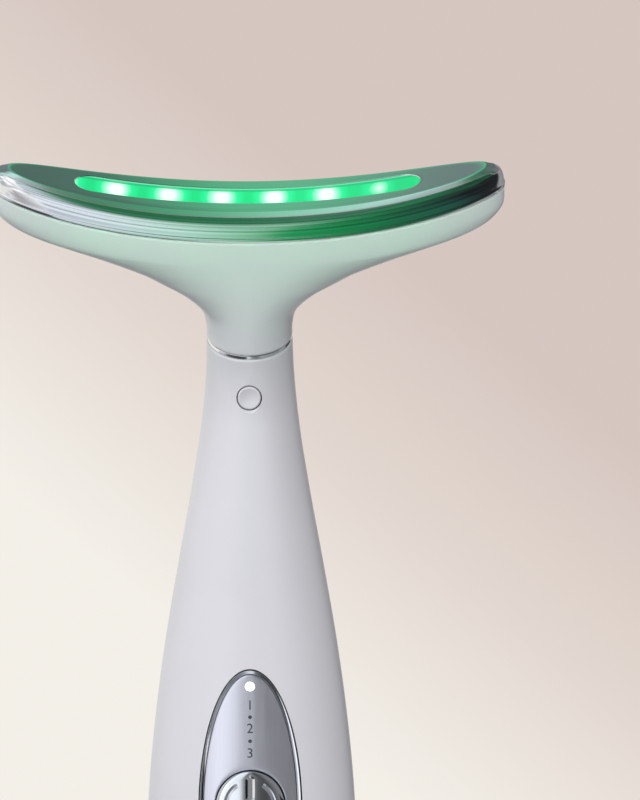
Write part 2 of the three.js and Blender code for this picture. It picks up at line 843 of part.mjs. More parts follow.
// A frame that sits on the head's concave curve, some height above the joint
function faceFrame(x, height) {
  const turned = new THREE.Matrix4().makeRotationY(-Math.asin(x / faceRadius));
  return turned.setPosition(x, 0, height + faceLift(x));
}

function crescentRing(lengthShare, depthShare, inset, height, liftShare, steps = headSteps) {
  const halfLength = mix(neckWidth, headLength, lengthShare) / 2 - inset;
  const halfDepth = mix(neckDepth, headDepth, depthShare) / 2 - inset;
  const lengthPower = mix(2, planLengthPower, lengthShare);
  const depthPower = mix(2, planDepthPower, lengthShare);
  const ring = superellipse(halfLength, halfDepth, lengthPower, depthPower, steps);
  return ring.map((point) => point.setZ(height + liftShare * faceLift(point.x)));
}

// Ring of the housing at a share of its height; a wall moves the ring inward and upward
function housingRing(share, wall, steps) {
  const from = Math.max(0, share - wall / seamHeight);
  const [lengthShare, depthShare] = housingShape(from);
  return crescentRing(lengthShare, depthShare, wall, share * seamHeight, Math.min(share, 1), steps);
}

function housingCore(fromShare, toShare, wall, rings, steps) {
  const step = (toShare - fromShare) / rings;
  const shares = Array.from({ length: rings + 1 }, (_, i) => fromShare + step * i);
  return loft(shares.map((share) => housingRing(share, wall, steps)));
}

// Slab that follows the face's curve, with the seam's outline less an inset
function crescentSlab(from, to, inset) {
  return loft([from, to].map((height) => crescentRing(seamLevel, seamLevel, inset, height, 1)));
}

const faceHeight = seamHeight + rimHeight;
const windowTop = faceHeight - windowSink;
const windowBottom = windowTop - windowThickness;
const ledTop = windowBottom - fit;
const ledBottom = ledTop - ledHeight;
const ledBoardTop = ledBottom - fit;
const ledBoardBottom = ledBoardTop - ledBoardThickness;
const frameTop = ledBoardBottom - seam;
const frameBottom = frameTop - frameThickness;
const spigotInset = handleWall + fit;
const headMatrix = spineFrame(spineLength);
const intoHead = headMatrix.clone().invert();

function spigotCore(inset, from, to) {
  const core = handleCore(spineLength + from, spineLength + to, inset);
  return solid(geometryOf(core).applyMatrix4(intoHead));
}

function onFace(body, x, height) {
  return solid(geometryOf(body).applyMatrix4(faceFrame(x, height)));
}

function makeHeadHousing() {
  const foot = jointHalf / seamHeight;
  const outer = housingCore(foot, seamLevel - seam / seamHeight, 0, housingRings, headSteps);
  const floor = foot + (2 * housingWall) / seamHeight;
  const hollow = housingCore(floor, seamLevel + seam, housingWall, hollowRings, hollowSteps);
  const throat = spigotCore(spigotInset + spigotWall, -spigotLength - overrun, 2 * housingWall + overrun);
  const spigot = spigotCore(spigotInset, -spigotLength, jointHalf + housingWall);
  const posts = [-headScrewPlace, headScrewPlace].map((x) => {
    const post = rodAlongZ(headPostRadius, -seamHeight, -fit);
    return onFace(post, x, frameBottom).intersect(outer);
  });
  const pilots = [-headScrewPlace, headScrewPlace].map((x) =>
    onFace(rodAlongZ(screwRadius + seam, frameThickness - headScrewLength, 0), x, frameBottom),
  );
  return cut(join(cut(outer, hollow), spigot, ...posts), throat, ...pilots);
}

function plateRings(rows, wall) {
  return rows.map(([heightShare, insetShare]) => {
    const height = seamHeight + rimHeight * heightShare - wall;
    return crescentRing(seamLevel, seamLevel, faceInset * insetShare + wall, height, 1);
  });
}

function makeFacePlate() {
  const innerRows = rimShapeShares.filter((_, i) => i % innerRowStep === 0);
  const outer = loft(plateRings(rimShapeShares, 0));
  const inner = loft(plateRings(innerRows, plateWall));
  const slot = prismAlongZ(stadium(windowLength, windowWidth), seamHeight - overrun, faceHeight + headDepth);
  return cut(outer, inner, slot);
}

function stadiumSlab(length, width, from, to) {
  const prism = prismAlongZ(stadium(length, width), from - overrun, to + headDepth);
  return crescentSlab(from, to, 0).intersect(prism);
}

function makeWindow() {
  return stadiumSlab(windowLength - 2 * fit, windowWidth - 2 * fit, windowBottom, windowTop);
}

function makeLedBoard() {
  return stadiumSlab(ledBoardLength, ledBoardWidth, ledBoardBottom, ledBoardTop);
}

function makeLed(number) {
  const x = (number - (ledCount - 1) / 2) * ledPitch;
  const body = box(-ledLength / 2, ledLength / 2, -ledWidth / 2, ledWidth / 2, 0, ledHeight);
  return onFace(body, x, ledBottom);
}

function makeHeadFrame() {
  const prism = prismAlongZ(stadium(frameLength, headDepth), frameBottom - overrun, frameTop + headDepth);
  const slab = crescentSlab(frameBottom, frameTop, frameInset).intersect(prism);
  const holes = [-headScrewPlace, headScrewPlace].map((x) =>
    onFace(rodAlongZ(screwRadius + fit, -overrun, frameThickness + overrun), x, frameBottom),
  );
  return cut(slab, ...holes);
}

function makeHeadScrew(x) {
  const top = frameThickness + screwHeadHeight;
  const head = rodAlongZ(screwHeadRadius, frameThickness + seam, top, 0, 0, screwSteps);
  const neck = top - screwSlotDepth;
  const shank = rodAlongZ(screwRadius, top - headScrewLength, neck, 0, 0, screwSteps);
  const half = screwHeadRadius / 2;
  const slot = screwSlotWidth / 2;
  const drive = box(-half, half, -slot, slot, top - screwSlotDepth, top + overrun);
  return onFace(cut(join(head, shank), drive), x, frameBottom);
}

function makeHeater(side) {
  const middle = side * (windowLength / 2 + fit + heaterLength / 2);
  const half = heaterLength / 2;
  const top = -plateWall - seam;
  const pad = box(-half, half, -heaterWidth / 2, heaterWidth / 2, top - heaterThickness, top);
  return onFace(pad, middle, faceHeight);
}

function makeNeckRing() {
  const half = ringHeight / 2;
  const outer = loft([-half, half].map((height) => crescentRing(0, 0, ringInset, height, 0)));
  const hole = spigotCore(spigotInset - fit, -overrun, overrun);
  return cut(outer, hole);
}

// Assembly

const device = new THREE.Group();
const handle = new THREE.Group();
const neckControls = new THREE.Group();
const head = new THREE.Group();
device.add(handle);
handle.add(neckControls, head);
neckControls.applyMatrix4(neckFrame);
head.applyMatrix4(headMatrix);

const wall = shellWall();
handle.add(
  part("handle_front_shell", makeFrontShell(wall), housingWhite),
  part("handle_back_shell", makeBackShell(wall), housingWhite),
  part("base_cap", makeBaseCap(), housingWhite),
  part("control_panel", makeControlPanel(), satinSilver),
  part("panel_trim", makePanelTrim(), chrome),
  part("power_button", makePowerButton(), chrome),
  part("power_switch_plunger", makePowerPlunger(), darkPlastic),
  part("power_switch", makePowerSwitch(), darkPlastic),
  part("status_light_pipe", makeStatusPipe(), lampWhite),
  part("status_led", makeStatusLed(), lampWhite),
  part("main_board", makeMainBoard(), boardGreen),
  part("battery_foam", makeFoam(), foamGrey),
  part("vibration_motor", makeMotor(), steel),
  part("motor_sleeve", makeMotorSleeve(), rubber),
  part("eccentric_weight", makeWeight(), steel),
  part("grip_screw_left", makeGripScrew(gripScrewPlaces[0]), steel),
  part("grip_screw_right", makeGripScrew(gripScrewPlaces[1]), steel),
);

const battery = part("battery", makeBattery(), cellBlue);
battery.position.y = (batteryFront + batteryBack) / 2;
const socket = part("usb_c_socket", makeSocket(), steel);
socket.position.y = socketMiddle;
handle.add(battery, socket);

neckControls.add(
  part("neck_button", makeNeckButton(), housingWhite),
  part("neck_switch_plunger", makeNeckPlunger(), darkPlastic),
  part("neck_switch", makeNeckSwitch(), darkPlastic),
  part("neck_board", makeNeckBoard(), boardGreen),
);

head.add(
  part("neck_ring", makeNeckRing(), chrome),
  part("head_housing", makeHeadHousing(), housingWhite),
  part("face_plate", makeFacePlate(), chrome),
  part("light_window", makeWindow(), clearGreen),
  part("led_board", makeLedBoard(), boardGreen),
  part("head_frame", makeHeadFrame(), innerPlastic),
  part("heater_left", makeHeater(-1), amberFilm),
  part("heater_right", makeHeater(1), amberFilm),
  part("head_screw_left", makeHeadScrew(-headScrewPlace), steel),
  part("head_screw_right", makeHeadScrew(headScrewPlace), steel),
);
for (let i = 0; i < ledCount; i++) {
  head.add(part(`led_${i + 1}`, makeLed(i), lampWhite));
}

// The middle of the footprint comes over the origin
const extent = new THREE.Box3().setFromObject(device, true);
handle.position.y = -(extent.min.y + extent.max.y) / 2;

export default device;
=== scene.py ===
"""Face and neck lifting device: its visible pieces, finishes, light and camera, round the frame.

Everything is in metres in the frame's own axes: +Z up the grip, the front faces -Y.
The shapes follow the same curves as the solids, with finer steps and softened edges.
"""

import json
import math

import bmesh
import bpy
from mathutils import Matrix, Vector
from mathutils.bvhtree import BVHTree


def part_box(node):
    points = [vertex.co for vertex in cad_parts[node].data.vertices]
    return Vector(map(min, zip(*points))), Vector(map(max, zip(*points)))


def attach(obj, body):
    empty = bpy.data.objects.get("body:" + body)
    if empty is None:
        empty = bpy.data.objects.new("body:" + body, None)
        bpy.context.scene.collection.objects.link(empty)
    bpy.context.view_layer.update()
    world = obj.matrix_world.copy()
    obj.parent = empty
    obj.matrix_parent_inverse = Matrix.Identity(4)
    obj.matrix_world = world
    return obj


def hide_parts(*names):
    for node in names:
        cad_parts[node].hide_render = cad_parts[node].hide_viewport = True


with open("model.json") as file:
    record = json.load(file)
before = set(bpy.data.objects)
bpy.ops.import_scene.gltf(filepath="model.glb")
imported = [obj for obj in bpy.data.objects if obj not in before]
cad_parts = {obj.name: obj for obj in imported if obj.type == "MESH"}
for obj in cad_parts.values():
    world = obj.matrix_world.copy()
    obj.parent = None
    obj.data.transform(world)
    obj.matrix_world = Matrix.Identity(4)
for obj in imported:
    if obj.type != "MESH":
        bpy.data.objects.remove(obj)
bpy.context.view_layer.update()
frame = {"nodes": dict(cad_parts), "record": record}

MM = 0.001
BODY = "device"


def middle(node):
    """Middle of a solid's box."""
    low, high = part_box(node)
    return (low + high) / 2


# Handle, as in the solids
GRIP_LENGTH = 119.6 * MM
BEND_RADIUS = 34 * MM
HEAD_TILT = math.radians(27)
GRIP_WIDTH = 35.2 * MM
GRIP_DEPTH = 27 * MM
NECK_WIDTH = 14.2 * MM
NECK_DEPTH = 17.4 * MM
GRIP_POWER = 2.3
HANDLE_WALL = 2.2 * MM
# Rows of [place along the spine, width, depth], where 0 is the neck's size and 1 the grip's
HANDLE_SHAPE = [
    [0, 0.75, 0.92], [0.1, 0.91, 0.98], [0.22, 0.99, 1], [0.34, 1, 0.98],
    [0.43, 0.96, 0.92], [0.52, 0.86, 0.79], [0.62, 0.69, 0.64], [0.72, 0.47, 0.45],
    [0.81, 0.26, 0.27], [0.89, 0.1, 0.1], [0.955, 0.02, 0.02], [1, 0, 0],
]
SEAM = 0.1 * MM
RING_HEIGHT = 0.65 * MM
RING_INSET = 0.15 * MM
JOINT_HALF = RING_HEIGHT / 2 + SEAM
BEND_END = GRIP_LENGTH + BEND_RADIUS * HEAD_TILT
SPINE_LENGTH = BEND_END + JOINT_HALF
HANDLE_Y = middle("vibration_motor").y  # the grip's middle plane
CAP_HEIGHT = 10 * MM
CAP_FLOOR = 2.4 * MM
CAP_ROUND = 2.2 * MM

# Head, along its own axis from the middle of the neck joint
HEAD_LENGTH = 83.4 * MM
HEAD_DEPTH = 17.9 * MM
SEAM_HEIGHT = 20.8 * MM
FACE_RADIUS = 140 * MM
PLAN_LENGTH_POWER = 2.6
PLAN_DEPTH_POWER = 2.3
# Rows of [height, length, depth], where 0 is the neck's size and 1 the seam's
HOUSING_SHAPE = [
    [0, 0, 0], [0.13, 0.002, -0.1], [0.295, 0.035, -0.2], [0.435, 0.139, -0.15],
    [0.525, 0.25, 0], [0.61, 0.373, 0.2], [0.715, 0.621, 0.45], [0.76, 0.777, 0.6],
    [0.795, 0.9, 0.75], [0.86, 0.98, 0.9], [1, 1, 1],
]
HOUSING_WALL = 1.8 * MM
RIM_HEIGHT = 4.4 * MM
FACE_INSET = 3 * MM
FACE_HEIGHT = SEAM_HEIGHT + RIM_HEIGHT
PLATE_WALL = 1 * MM
WINDOW_LENGTH = 56 * MM
WINDOW_WIDTH = 6 * MM
WINDOW_THICKNESS = 1.6 * MM
WINDOW_SINK = 0.08 * MM
WINDOW_GAP = 0.06 * MM
LED_PITCH = 8.52 * MM

# Panel and buttons
PANEL_LENGTH = 44.6 * MM
PANEL_WIDTH = 15.4 * MM
PANEL_THICKNESS = 1.4 * MM
TRIM_WIDTH = 0.6 * MM
TRIM_PROUD = 0.12 * MM
TRIM_GAP = 0.22 * MM
PANEL_Z = middle("control_panel").z
POWER_Z = middle("power_button").z
POWER_RADIUS = 5.6 * MM
BUTTON_GAP = 0.2 * MM
STATUS_Z = middle("status_light_pipe").z
STATUS_RADIUS = 0.9 * MM
NECK_BUTTON_PLACE = BEND_END - 8.72 * MM
NECK_BUTTON_RADIUS = 1.9 * MM

# How finely the skins are divided
SIDE_STEPS = 96
HANDLE_RINGS = 170
HEAD_STEPS = 288
HOUSING_RINGS = 150
OUTLINE_STEPS = 240
EDGE_STEPS = 5
CAP_STEPS = 12


# Curves that the solids share


def curve_through(rows):
    """Smooth curve through rows of [place, value, ...], as the solids have it."""
    last = len(rows) - 1

    def at(place):
        place = min(max(place, rows[0][0]), rows[last][0])
        i = next((k for k in range(1, last) if place < rows[k][0]), last)
        start, end = rows[i - 1], rows[i]
        before = rows[i - 2] if i >= 2 else end
        after = rows[i + 1] if i < last else start
        half = (end[0] - start[0]) / 2
        p = (place - start[0]) / half / 2
        values = []
        for a, b, c, d in list(zip(before, start, end, after))[1:]:
            leaving = (c - b) / 2 + (b - a) * half / (start[0] - before[0])
            arriving = (c - b) / 2 + (d - c) * half / (after[0] - end[0])
            value = b + (c - b) * p * p * (3 - 2 * p)
            values.append(value + leaving * p * (1 - p) ** 2 - arriving * p * p * (1 - p))
        return values

    return at


def mix(low, high, share):
    return low + (high - low) * share


def signed_power(value, power):
    return math.copysign(abs(value) ** power, value)


def around(steps, start=0):
    """Angles of a full turn, in even steps."""
    return [2 * math.pi * (j + start) / steps for j in range(steps)]


handle_shape = curve_through(HANDLE_SHAPE)
housing_shape = curve_through(HOUSING_SHAPE)


def spine_frame(place):
    """Frame on the handle's spine: up the grip, round the bend, and straight on into the head."""
    angle = min(max((place - GRIP_LENGTH) / BEND_RADIUS, 0), HEAD_TILT)
    beyond = max(0, place - BEND_END)
    y = -BEND_RADIUS * (1 - math.cos(angle)) - beyond * math.sin(angle)
    z = min(place, GRIP_LENGTH) + BEND_RADIUS * math.sin(angle) + beyond * math.cos(angle)
    return Matrix.Translation((0, HANDLE_Y + y, z)) @ Matrix.Rotation(angle, 4, "X")


def handle_size(place):
    """Half the width, half the depth and the exponent of the handle's section."""
    width, depth = handle_shape(place / SPINE_LENGTH)
    half_width = mix(NECK_WIDTH, GRIP_WIDTH, width) / 2
    half_depth = mix(NECK_DEPTH, GRIP_DEPTH, depth) / 2
    return half_width, half_depth, mix(2, GRIP_POWER, width)


def front_at(z, x=0):
    """Y of the grip's front at a height and a distance from its middle plane."""
    half_width, half_depth, power = handle_size(z)
    share = 1 - (abs(x) / half_width) ** power
    return HANDLE_Y - half_depth * share ** (1 / power)


HEAD = spine_frame(SPINE_LENGTH)
NECK_BUTTON = spine_frame(NECK_BUTTON_PLACE)
NECK_FRONT = -handle_size(NECK_BUTTON_PLACE)[1]


def face_lift(x):
    """How far the concave face rises from its middle."""
    return FACE_RADIUS - math.sqrt(FACE_RADIUS**2 - x**2)


def oval(half_length, half_depth, length_power, depth_power):
    """[x, y] of a level superellipse that starts on +X."""
    ring = []
    for a in around(HEAD_STEPS):
        x = half_length * signed_power(math.cos(a), 2 / length_power)
        ring.append((x, half_depth * signed_power(math.sin(a), 2 / depth_power)))
    return ring


def handle_ring(place, inset):
    half_width, half_depth, power = handle_size(place)
    matrix = spine_frame(place)
    ring = oval(half_width - inset, half_depth - inset, power, power)
    return [matrix @ Vector((x, y, 0)) for x, y in ring]


def crescent_ring(length, depth, inset, height, lift):
    """Ring of the head in its own frame. It starts on +X and is symmetric about XZ."""
    half_length = mix(NECK_WIDTH, HEAD_LENGTH, length) / 2 - inset
    half_depth = mix(NECK_DEPTH, HEAD_DEPTH, depth) / 2 - inset
    length_power = mix(2, PLAN_LENGTH_POWER, length)
    depth_power = mix(2, PLAN_DEPTH_POWER, length)
    ring = oval(half_length, half_depth, length_power, depth_power)
    return [Vector((x, y, height + lift * face_lift(x))) for x, y in ring]


def window_ring(wider, drop):
    """Ring of the window in the concave face, whose points match those of a crescent ring."""
    half_length = (WINDOW_LENGTH + wider) / 2
    radius = (WINDOW_WIDTH + wider) / 2
    ring = []
    for a in around(HEAD_STEPS):
        x = half_length * signed_power(math.cos(a), 2 / PLAN_LENGTH_POWER)
        past = max(0, abs(x) - (half_length - radius))
        y = math.copysign(math.sqrt(max(0, radius**2 - past**2)), math.sin(a))
        ring.append(Vector((x, y, FACE_HEIGHT - drop + face_lift(x))))
    return ring


# Meshes


def linked(name, data):
    obj = bpy.data.objects.new(name, data)
    bpy.context.scene.collection.objects.link(obj)
    return obj


def new_mesh(name, points, faces):
    mesh = bpy.data.meshes.new(name)
    mesh.from_pydata([tuple(p) for p in points], [], faces)
    return mesh


def piece(name, shape, finish=None, node=None, body=BODY):
    """A closed piece. With a finish it moves with a body, and it may stand for a solid."""
    mesh = new_mesh(name, *shape)
    tidy = bmesh.new()
    tidy.from_mesh(mesh)
    bmesh.ops.remove_doubles(tidy, verts=tidy.verts, dist=MM / 1000)
    bmesh.ops.recalc_face_normals(tidy, faces=tidy.faces)
    tidy.to_mesh(mesh)
    tidy.free()
    mesh.shade_smooth()
    obj = linked(name, mesh)
    if node:
        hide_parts(node)
    if finish:
        mesh.materials.append(finish)
        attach(obj, body)
    return obj


def flat(rings):
    return [p for ring in rings for p in ring]


def wrap(rings, closed=False):
    """Faces between rings of equal length; a closed chain also joins the last to the first."""
    steps = len(rings[0])
    pairs = len(rings) if closed else len(rings) - 1
    faces = []
    for i in range(pairs):
        low = i * steps
        high = (i + 1) % len(rings) * steps
        for j in range(steps):
            k = (j + 1) % steps
            faces.append((low + j, low + k, high + k, high + j))
    return faces


def ladder(first, steps, shift=0):
    """Strips across a ring, between mirror images. Point 0's is itself, or with shift 1 the last."""
    faces = []
    for j in range((steps - shift) // 2):
        k = steps - shift - j
        face = [first + j, first + j + 1, first + k - 1, first + k % steps]
        faces.append(tuple(dict.fromkeys(face)))
    return [face for face in faces if len(face) > 2]


def loft(rings, shift=0):
    """Points and faces of a solid whose two ends are closed by ladders."""
    steps = len(rings[0])
    last = (len(rings) - 1) * steps
    return flat(rings), wrap(rings) + ladder(0, steps, shift) + ladder(last, steps, shift)


def capped(rings):
    """Points and faces of a solid whose two ends are one face each."""
    steps = len(rings[0])
    last = (len(rings) - 1) * steps
    return flat(rings), wrap(rings) + [tuple(range(steps)), tuple(range(last, last + steps))]


def chain(rings):
    """Points and faces of rings that close on themselves, like a tyre."""
    return flat(rings), wrap(rings, closed=True)


def turned(profile, steps):
    """Revolved about the Y axis, from [radius, y] that starts and ends on the axis."""
    rings = [
        [Vector((r * math.cos(a), y, r * math.sin(a))) for a in around(steps)] for r, y in profile
    ]
    return flat(rings), wrap(rings)


def rounded_box(size, centre):
    """A box whose edges are cut at an eighth of its thinnest side."""
    cut = min(size) / 8
    half_width, half_depth, half_height = (side / 2 for side in size)
    high = half_height - cut
    rings = []
    for z, inset in ((-half_height, cut), (-high, 0), (high, 0), (half_height, cut)):
        a, b = half_width - inset, half_depth - inset
        corners = [(a, b - cut), (a - cut, b), (cut - a, b), (-a, b - cut)]
        corners += [(-x, -y) for x, y in corners]
        rings.append([centre + Vector((x, y, z)) for x, y in corners])
    return capped(rings)


def placed(shape, matrix):
    points, faces = shape
    return [matrix @ p for p in points], faces


def quarter(radius, steps=EDGE_STEPS):
    """[inset, drop] along a rounded edge, from the side to the top."""
    angles = [math.pi / 2 * i / steps for i in range(steps + 1)]
    return [(radius * (1 - math.cos(a)), radius * (1 - math.sin(a))) for a in angles]


def mesh_after(obj):
    """The mesh that an object's modifiers give."""
    graph = bpy.context.evaluated_depsgraph_get()
    return bpy.data.meshes.new_from_object(obj.evaluated_get(graph))


def carve(obj, *cutters):
    """Cuts solids out of a piece, and gives its untouched skin the smooth shading back."""
    skin = obj.data.copy()
    for cutter in cutters:
        change = obj.modifiers.new("cut", "BOOLEAN")
        change.operation = "DIFFERENCE"
        change.solver = "MANIFOLD"
        change.object = cutter
    carved = mesh_after(obj)
    obj.modifiers.clear()
    obj.data = carved
    for cutter in cutters:
        bpy.data.objects.remove(cutter)
    restore_shading(carved, skin)


SKIN_REACH = 0.02 * MM
SKIN_ALIGNED = 0.95
CORNER_REACH = 0.00002 * MM


def restore_shading(mesh, skin):
    """Faces that still lie on the old skin take its normals; those of a cut stay flat."""
    tree = BVHTree.FromPolygons(
        [v.co for v in skin.vertices], [tuple(p.vertices) for p in skin.polygons]
    )
    corner_normals = skin.corner_normals
    normals = [Vector()] * len(mesh.loops)
    for face in mesh.polygons:
        _, normal, _, distance = tree.find_nearest(face.center)
        on_skin = distance < SKIN_REACH and normal.dot(face.normal) > SKIN_ALIGNED
        for loop in face.loop_indices:
            normals[loop] = face.normal
            if on_skin:
                point = mesh.vertices[mesh.loops[loop].vertex_index].co
                _, _, index, _ = tree.find_nearest(point)
                old = skin.polygons[index]
                weights = [
                    (1 / ((skin.vertices[v].co - point).length + CORNER_REACH), c)
                    for v, c in zip(old.vertices, old.loop_indices)
                ]
                total = sum((corner_normals[c].vector * w for w, c in weights), Vector())
                normals[loop] = total.normalized()
    mesh.shade_smooth()
    mesh.normals_split_custom_set([tuple(n) for n in normals])


# Finishes


class Nodes:
    """Short ways to add nodes to a tree. A value is another node's output or a constant."""

    def __init__(self, tree):
        self.tree = tree

    def feed(self, socket, value):
        if isinstance(value, bpy.types.NodeSocket):
            self.tree.links.new(value, socket)
        else:
            socket.default_value = value

    def add(self, kind, inputs=(), **settings):
        node = self.tree.nodes.new("ShaderNode" + kind)
        for key, value in settings.items():
            setattr(node, key, value)
        for key, value in dict(inputs).items():
            self.feed(node.inputs[key], value)
        return node

    def place(self, output="Object"):
        """X, Y and Z of a point, in the frame's own coordinates."""
        place = self.add("TexCoord").outputs[output]
        return self.add("SeparateXYZ", {"Vector": place}).outputs

    def noise(self, scale, detail=3, stretch=(1, 1, 1)):
        """Noise in the frame's own coordinates. Scale is in cycles per metre."""
        place = self.add("TexCoord").outputs["Object"]
        place = self.add("Mapping", {"Vector": place, "Scale": stretch}).outputs["Vector"]
        inputs = {"Vector": place, "Scale": scale, "Detail": detail}
        return self.add("TexNoise", inputs).outputs["Fac"]

    def mapped(self, value, low, high, source=(0, 1)):
        """A value brought from between two limits to between two others."""
        inputs = enumerate((value, *source, low, high))
        return self.add("MapRange", inputs).outputs["Result"]

    def calc(self, operation, *values):
        return self.add("Math", enumerate(values), operation=operation).outputs["Value"]

    def mixed(self, factor, first, second):
        """A colour between two."""
        inputs = {0: factor, 6: first, 7: second}
        return self.add("Mix", inputs, data_type="RGBA").outputs[2]

    def ramp(self, value, stops):
        """Colour by a value from 0 to 1, from [value, red, green, blue] stops."""
        node = self.add("ValToRGB", {"Fac": value})
        elements = node.color_ramp.elements
        while len(elements) < len(stops):
            elements.new(0.5)
        for element, (place, *color) in zip(elements, stops):
            element.position = place
            element.color = (*color, 1)
        return node.outputs["Color"]

    def tone(self, value, low, high):
        return self.ramp(value, [(0, *low), (1, *high)])

    def bands(self, value, stops):
        """Colour by a value between the first and the last stop."""
        low, high = stops[0][0], stops[-1][0]
        shares = [((place - low) / (high - low), *color) for place, *color in stops]
        return self.ramp(self.mapped(value, 0, 1, (low, high)), shares)


class Finish(Nodes):
    """A material and its shader."""

    def __init__(self, name, color, metallic, roughness):
        self.material = bpy.data.materials.new(name)
        self.material.use_nodes = True
        self.material.diffuse_color = (*color, 1)
        super().__init__(self.material.node_tree)
        self.shader = self.tree.nodes["Principled BSDF"]
        self.shade({"Base Color": (*color, 1), "Metallic": metallic, "Roughness": roughness})

    def shade(self, inputs):
        for name, value in inputs.items():
            self.feed(self.shader.inputs[name], value)

    def bump(self, height, distance):
        inputs = {"Height": height, "Distance": distance, "Strength": 1}
        self.shade({"Normal": self.add("Bump", inputs).outputs["Normal"]})


def surface(name, low, high, metallic, roughness, spread, noises, relief=0):
    """Finish whose tone and gloss each follow a noise, and its fine relief a third one."""
    finish = Finish(name, high, metallic, roughness)
    tone, gloss, *fine = [finish.noise(*noise) for noise in noises]
    rough = finish.mapped(gloss, roughness + spread[0], roughness + spread[1])
    finish.shade({"Base Color": finish.tone(tone, low, high), "Roughness": rough})
    if fine:
        finish.bump(fine[0], relief)
    return finish


def plain_part(name, color, metallic, roughness):
    """Finish of the inner parts: an even tone with a fine grain."""
    dark = [c * 0.86 for c in color]
    spread = (-0.06, 0.06)
    return surface(name, dark, color, metallic, roughness, spread, GRAIN, 0.01 * MM).material


# The lamps' spots, light painted into the window's own glow, lie nearer to the window's near edge
# and are wider across it than along it.
# Distances and places along and across the window are in lamp pitches.
SPOT_SHIFT = -0.7 * MM
SPOT_WEIGHTS = (1.25, 0.32)  # of the squares of the distances along and across
SPOT_WOBBLE = 0.05
LAST_SPOT = (1.9, 2.4)  # along: between these the last spot grows weaker
LAST_LOSS = 0.12
# Painted light of a spot, from its middle outward, in [distance, red, green, blue]
SPOT_COLORS = [
    (0.0, 1.0, 1.0, 1.0), (0.13, 0.95, 1.0, 0.97), (0.22, 0.42, 0.97, 0.66),
    (0.33, 0.015, 0.72, 0.26), (0.5, 0.0, 0.55, 0.155),
]
# At the window's far edge, painted shade as a dark band and a painted light line: [start across,
# strength, colour]
PAINTED_EDGE_SHADE_AND_LINE = [
    (0.205 - SPOT_SHIFT / LED_PITCH, 0.85, (0.002, 0.30, 0.11, 1)),
    (0.30 - SPOT_SHIFT / LED_PITCH, 1, (0.15, 0.66, 0.38, 1)),
]
EDGE_BLUR = 0.012
FADE_PLACE = (1.6, 2.6)  # along: between these the whole window grows weaker
FADE = 0.86


def lamp_distance(finish):
    """Distance from the nearest spot's middle, and the places along and across the window."""
    x, y, _ = finish.place()
    along = finish.calc("MULTIPLY", x, 1 / LED_PITCH)
    to_lamp = finish.calc("SUBTRACT", finish.calc("FRACT", along), 0.5)
    lift = finish.calc("MULTIPLY", finish.calc("POWER", x, 2), 1 / (2 * FACE_RADIUS))
    lamp_y = (HEAD @ Vector((0, SPOT_SHIFT, FACE_HEIGHT))).y
    y = finish.calc("ADD", y, -lamp_y)
    y = finish.calc("ADD", y, finish.calc("MULTIPLY", lift, math.sin(HEAD_TILT)))
    across = finish.calc("MULTIPLY", y, 1 / (LED_PITCH * math.cos(HEAD_TILT)))
    squares = [
        finish.calc("MULTIPLY", finish.calc("POWER", part, 2), weight)
        for part, weight in zip((to_lamp, across), SPOT_WEIGHTS)
    ]
    return finish.calc("SQRT", finish.calc("ADD", *squares)), along, across


def glowing_window():
    """Clear green window whose glow is the painted light of the row of lamps behind it, the last one
    weaker.
    """
    finish = Finish("lit_window", (0.008, 0.2, 0.08), 0, 0.16)
    distance, along, across = lamp_distance(finish)
    wobble = finish.mapped(finish.noise(330, 4, (1, 0.25, 0.25)), -SPOT_WOBBLE, SPOT_WOBBLE)
    weaker = finish.mapped(along, 0, LAST_LOSS, LAST_SPOT)
    distance = finish.calc("ADD", distance, weaker)
    color = finish.ramp(finish.calc("ADD", distance, wobble), SPOT_COLORS)
    # Over the glow, painted shade and a painted light line along the far edge
    for start, strength, edge_color in PAINTED_EDGE_SHADE_AND_LINE:
        edge = finish.mapped(across, 0, strength, (start - EDGE_BLUR, start + EDGE_BLUR))
        color = finish.mixed(edge, color, edge_color)
    fade = finish.mapped(along, 1, FADE, FADE_PLACE)
    finish.shade({"Coat Weight": 0.35, "Emission Color": color, "Emission Strength": fade})
    return finish.material


def lit_white():
    """White lamp cap, faintly uneven."""
    finish = Finish("lit_white", (0.9, 0.92, 0.95), 0, 0.3)
    glow = finish.mapped(finish.noise(700), 0.75, 1)
    finish.shade({"Emission Color": (1, 1, 1, 1), "Emission Strength": glow})
    return finish.material


def moulded_plastic():
    """Smooth moulded plastic: a faint change of tone, and the skin's fine waviness."""
    low, high = (0.60, 0.595, 0.63), (0.67, 0.665, 0.70)
    noises = [(45,), (260,), (2600, 2)]
    finish = surface("satin_white", low, high, 0, 0.38, (-0.04, 0.05), noises, 0.004 * MM)
    finish.shade({"Coat Weight": 0.2, "Coat Roughness": 0.12})
    return finish.material


def bright_metal(name, low, high, smoothest, spread):
    """Polished plating with the faintest smear in its gloss."""
    return surface(name, low, high, 1, smoothest, (0, spread), [(60,), (140, 5)]).material


def brushed_metal():
    """Satin metal with fine lines up and down."""
    low, high = (0.70, 0.71, 0.78), (0.83, 0.84, 0.92)
    noises = [(1500, 4, (1, 1, 0.04))] * 3
    spread = (-0.05, 0.08)
    return surface("brushed_panel", low, high, 0.95, 0.3, spread, noises, 0.003 * MM).material


GRAIN = [(900,)] * 3
housing_white = moulded_plastic()
chrome = bright_metal("bright_plating", (0.84, 0.86, 0.87), (0.93, 0.94, 0.94), 0.09, 0.06)
button_metal = bright_metal("button_plating", (0.74, 0.77, 0.82), (0.87, 0.90, 0.95), 0.06, 0.05)
panel_metal = brushed_metal()
window_green = glowing_window()
lamp_white = lit_white()
dark_gap = plain_part("dark_plastic", (0.02, 0.02, 0.022), 0, 0.5)
ink = plain_part("grey_ink", (0.05, 0.05, 0.06), 0, 0.6)
steel = plain_part("plain_steel", (0.5, 0.51, 0.53), 1, 0.3)
contact_gold = plain_part("contact_gold", (0.83, 0.6, 0.25), 1, 0.25)

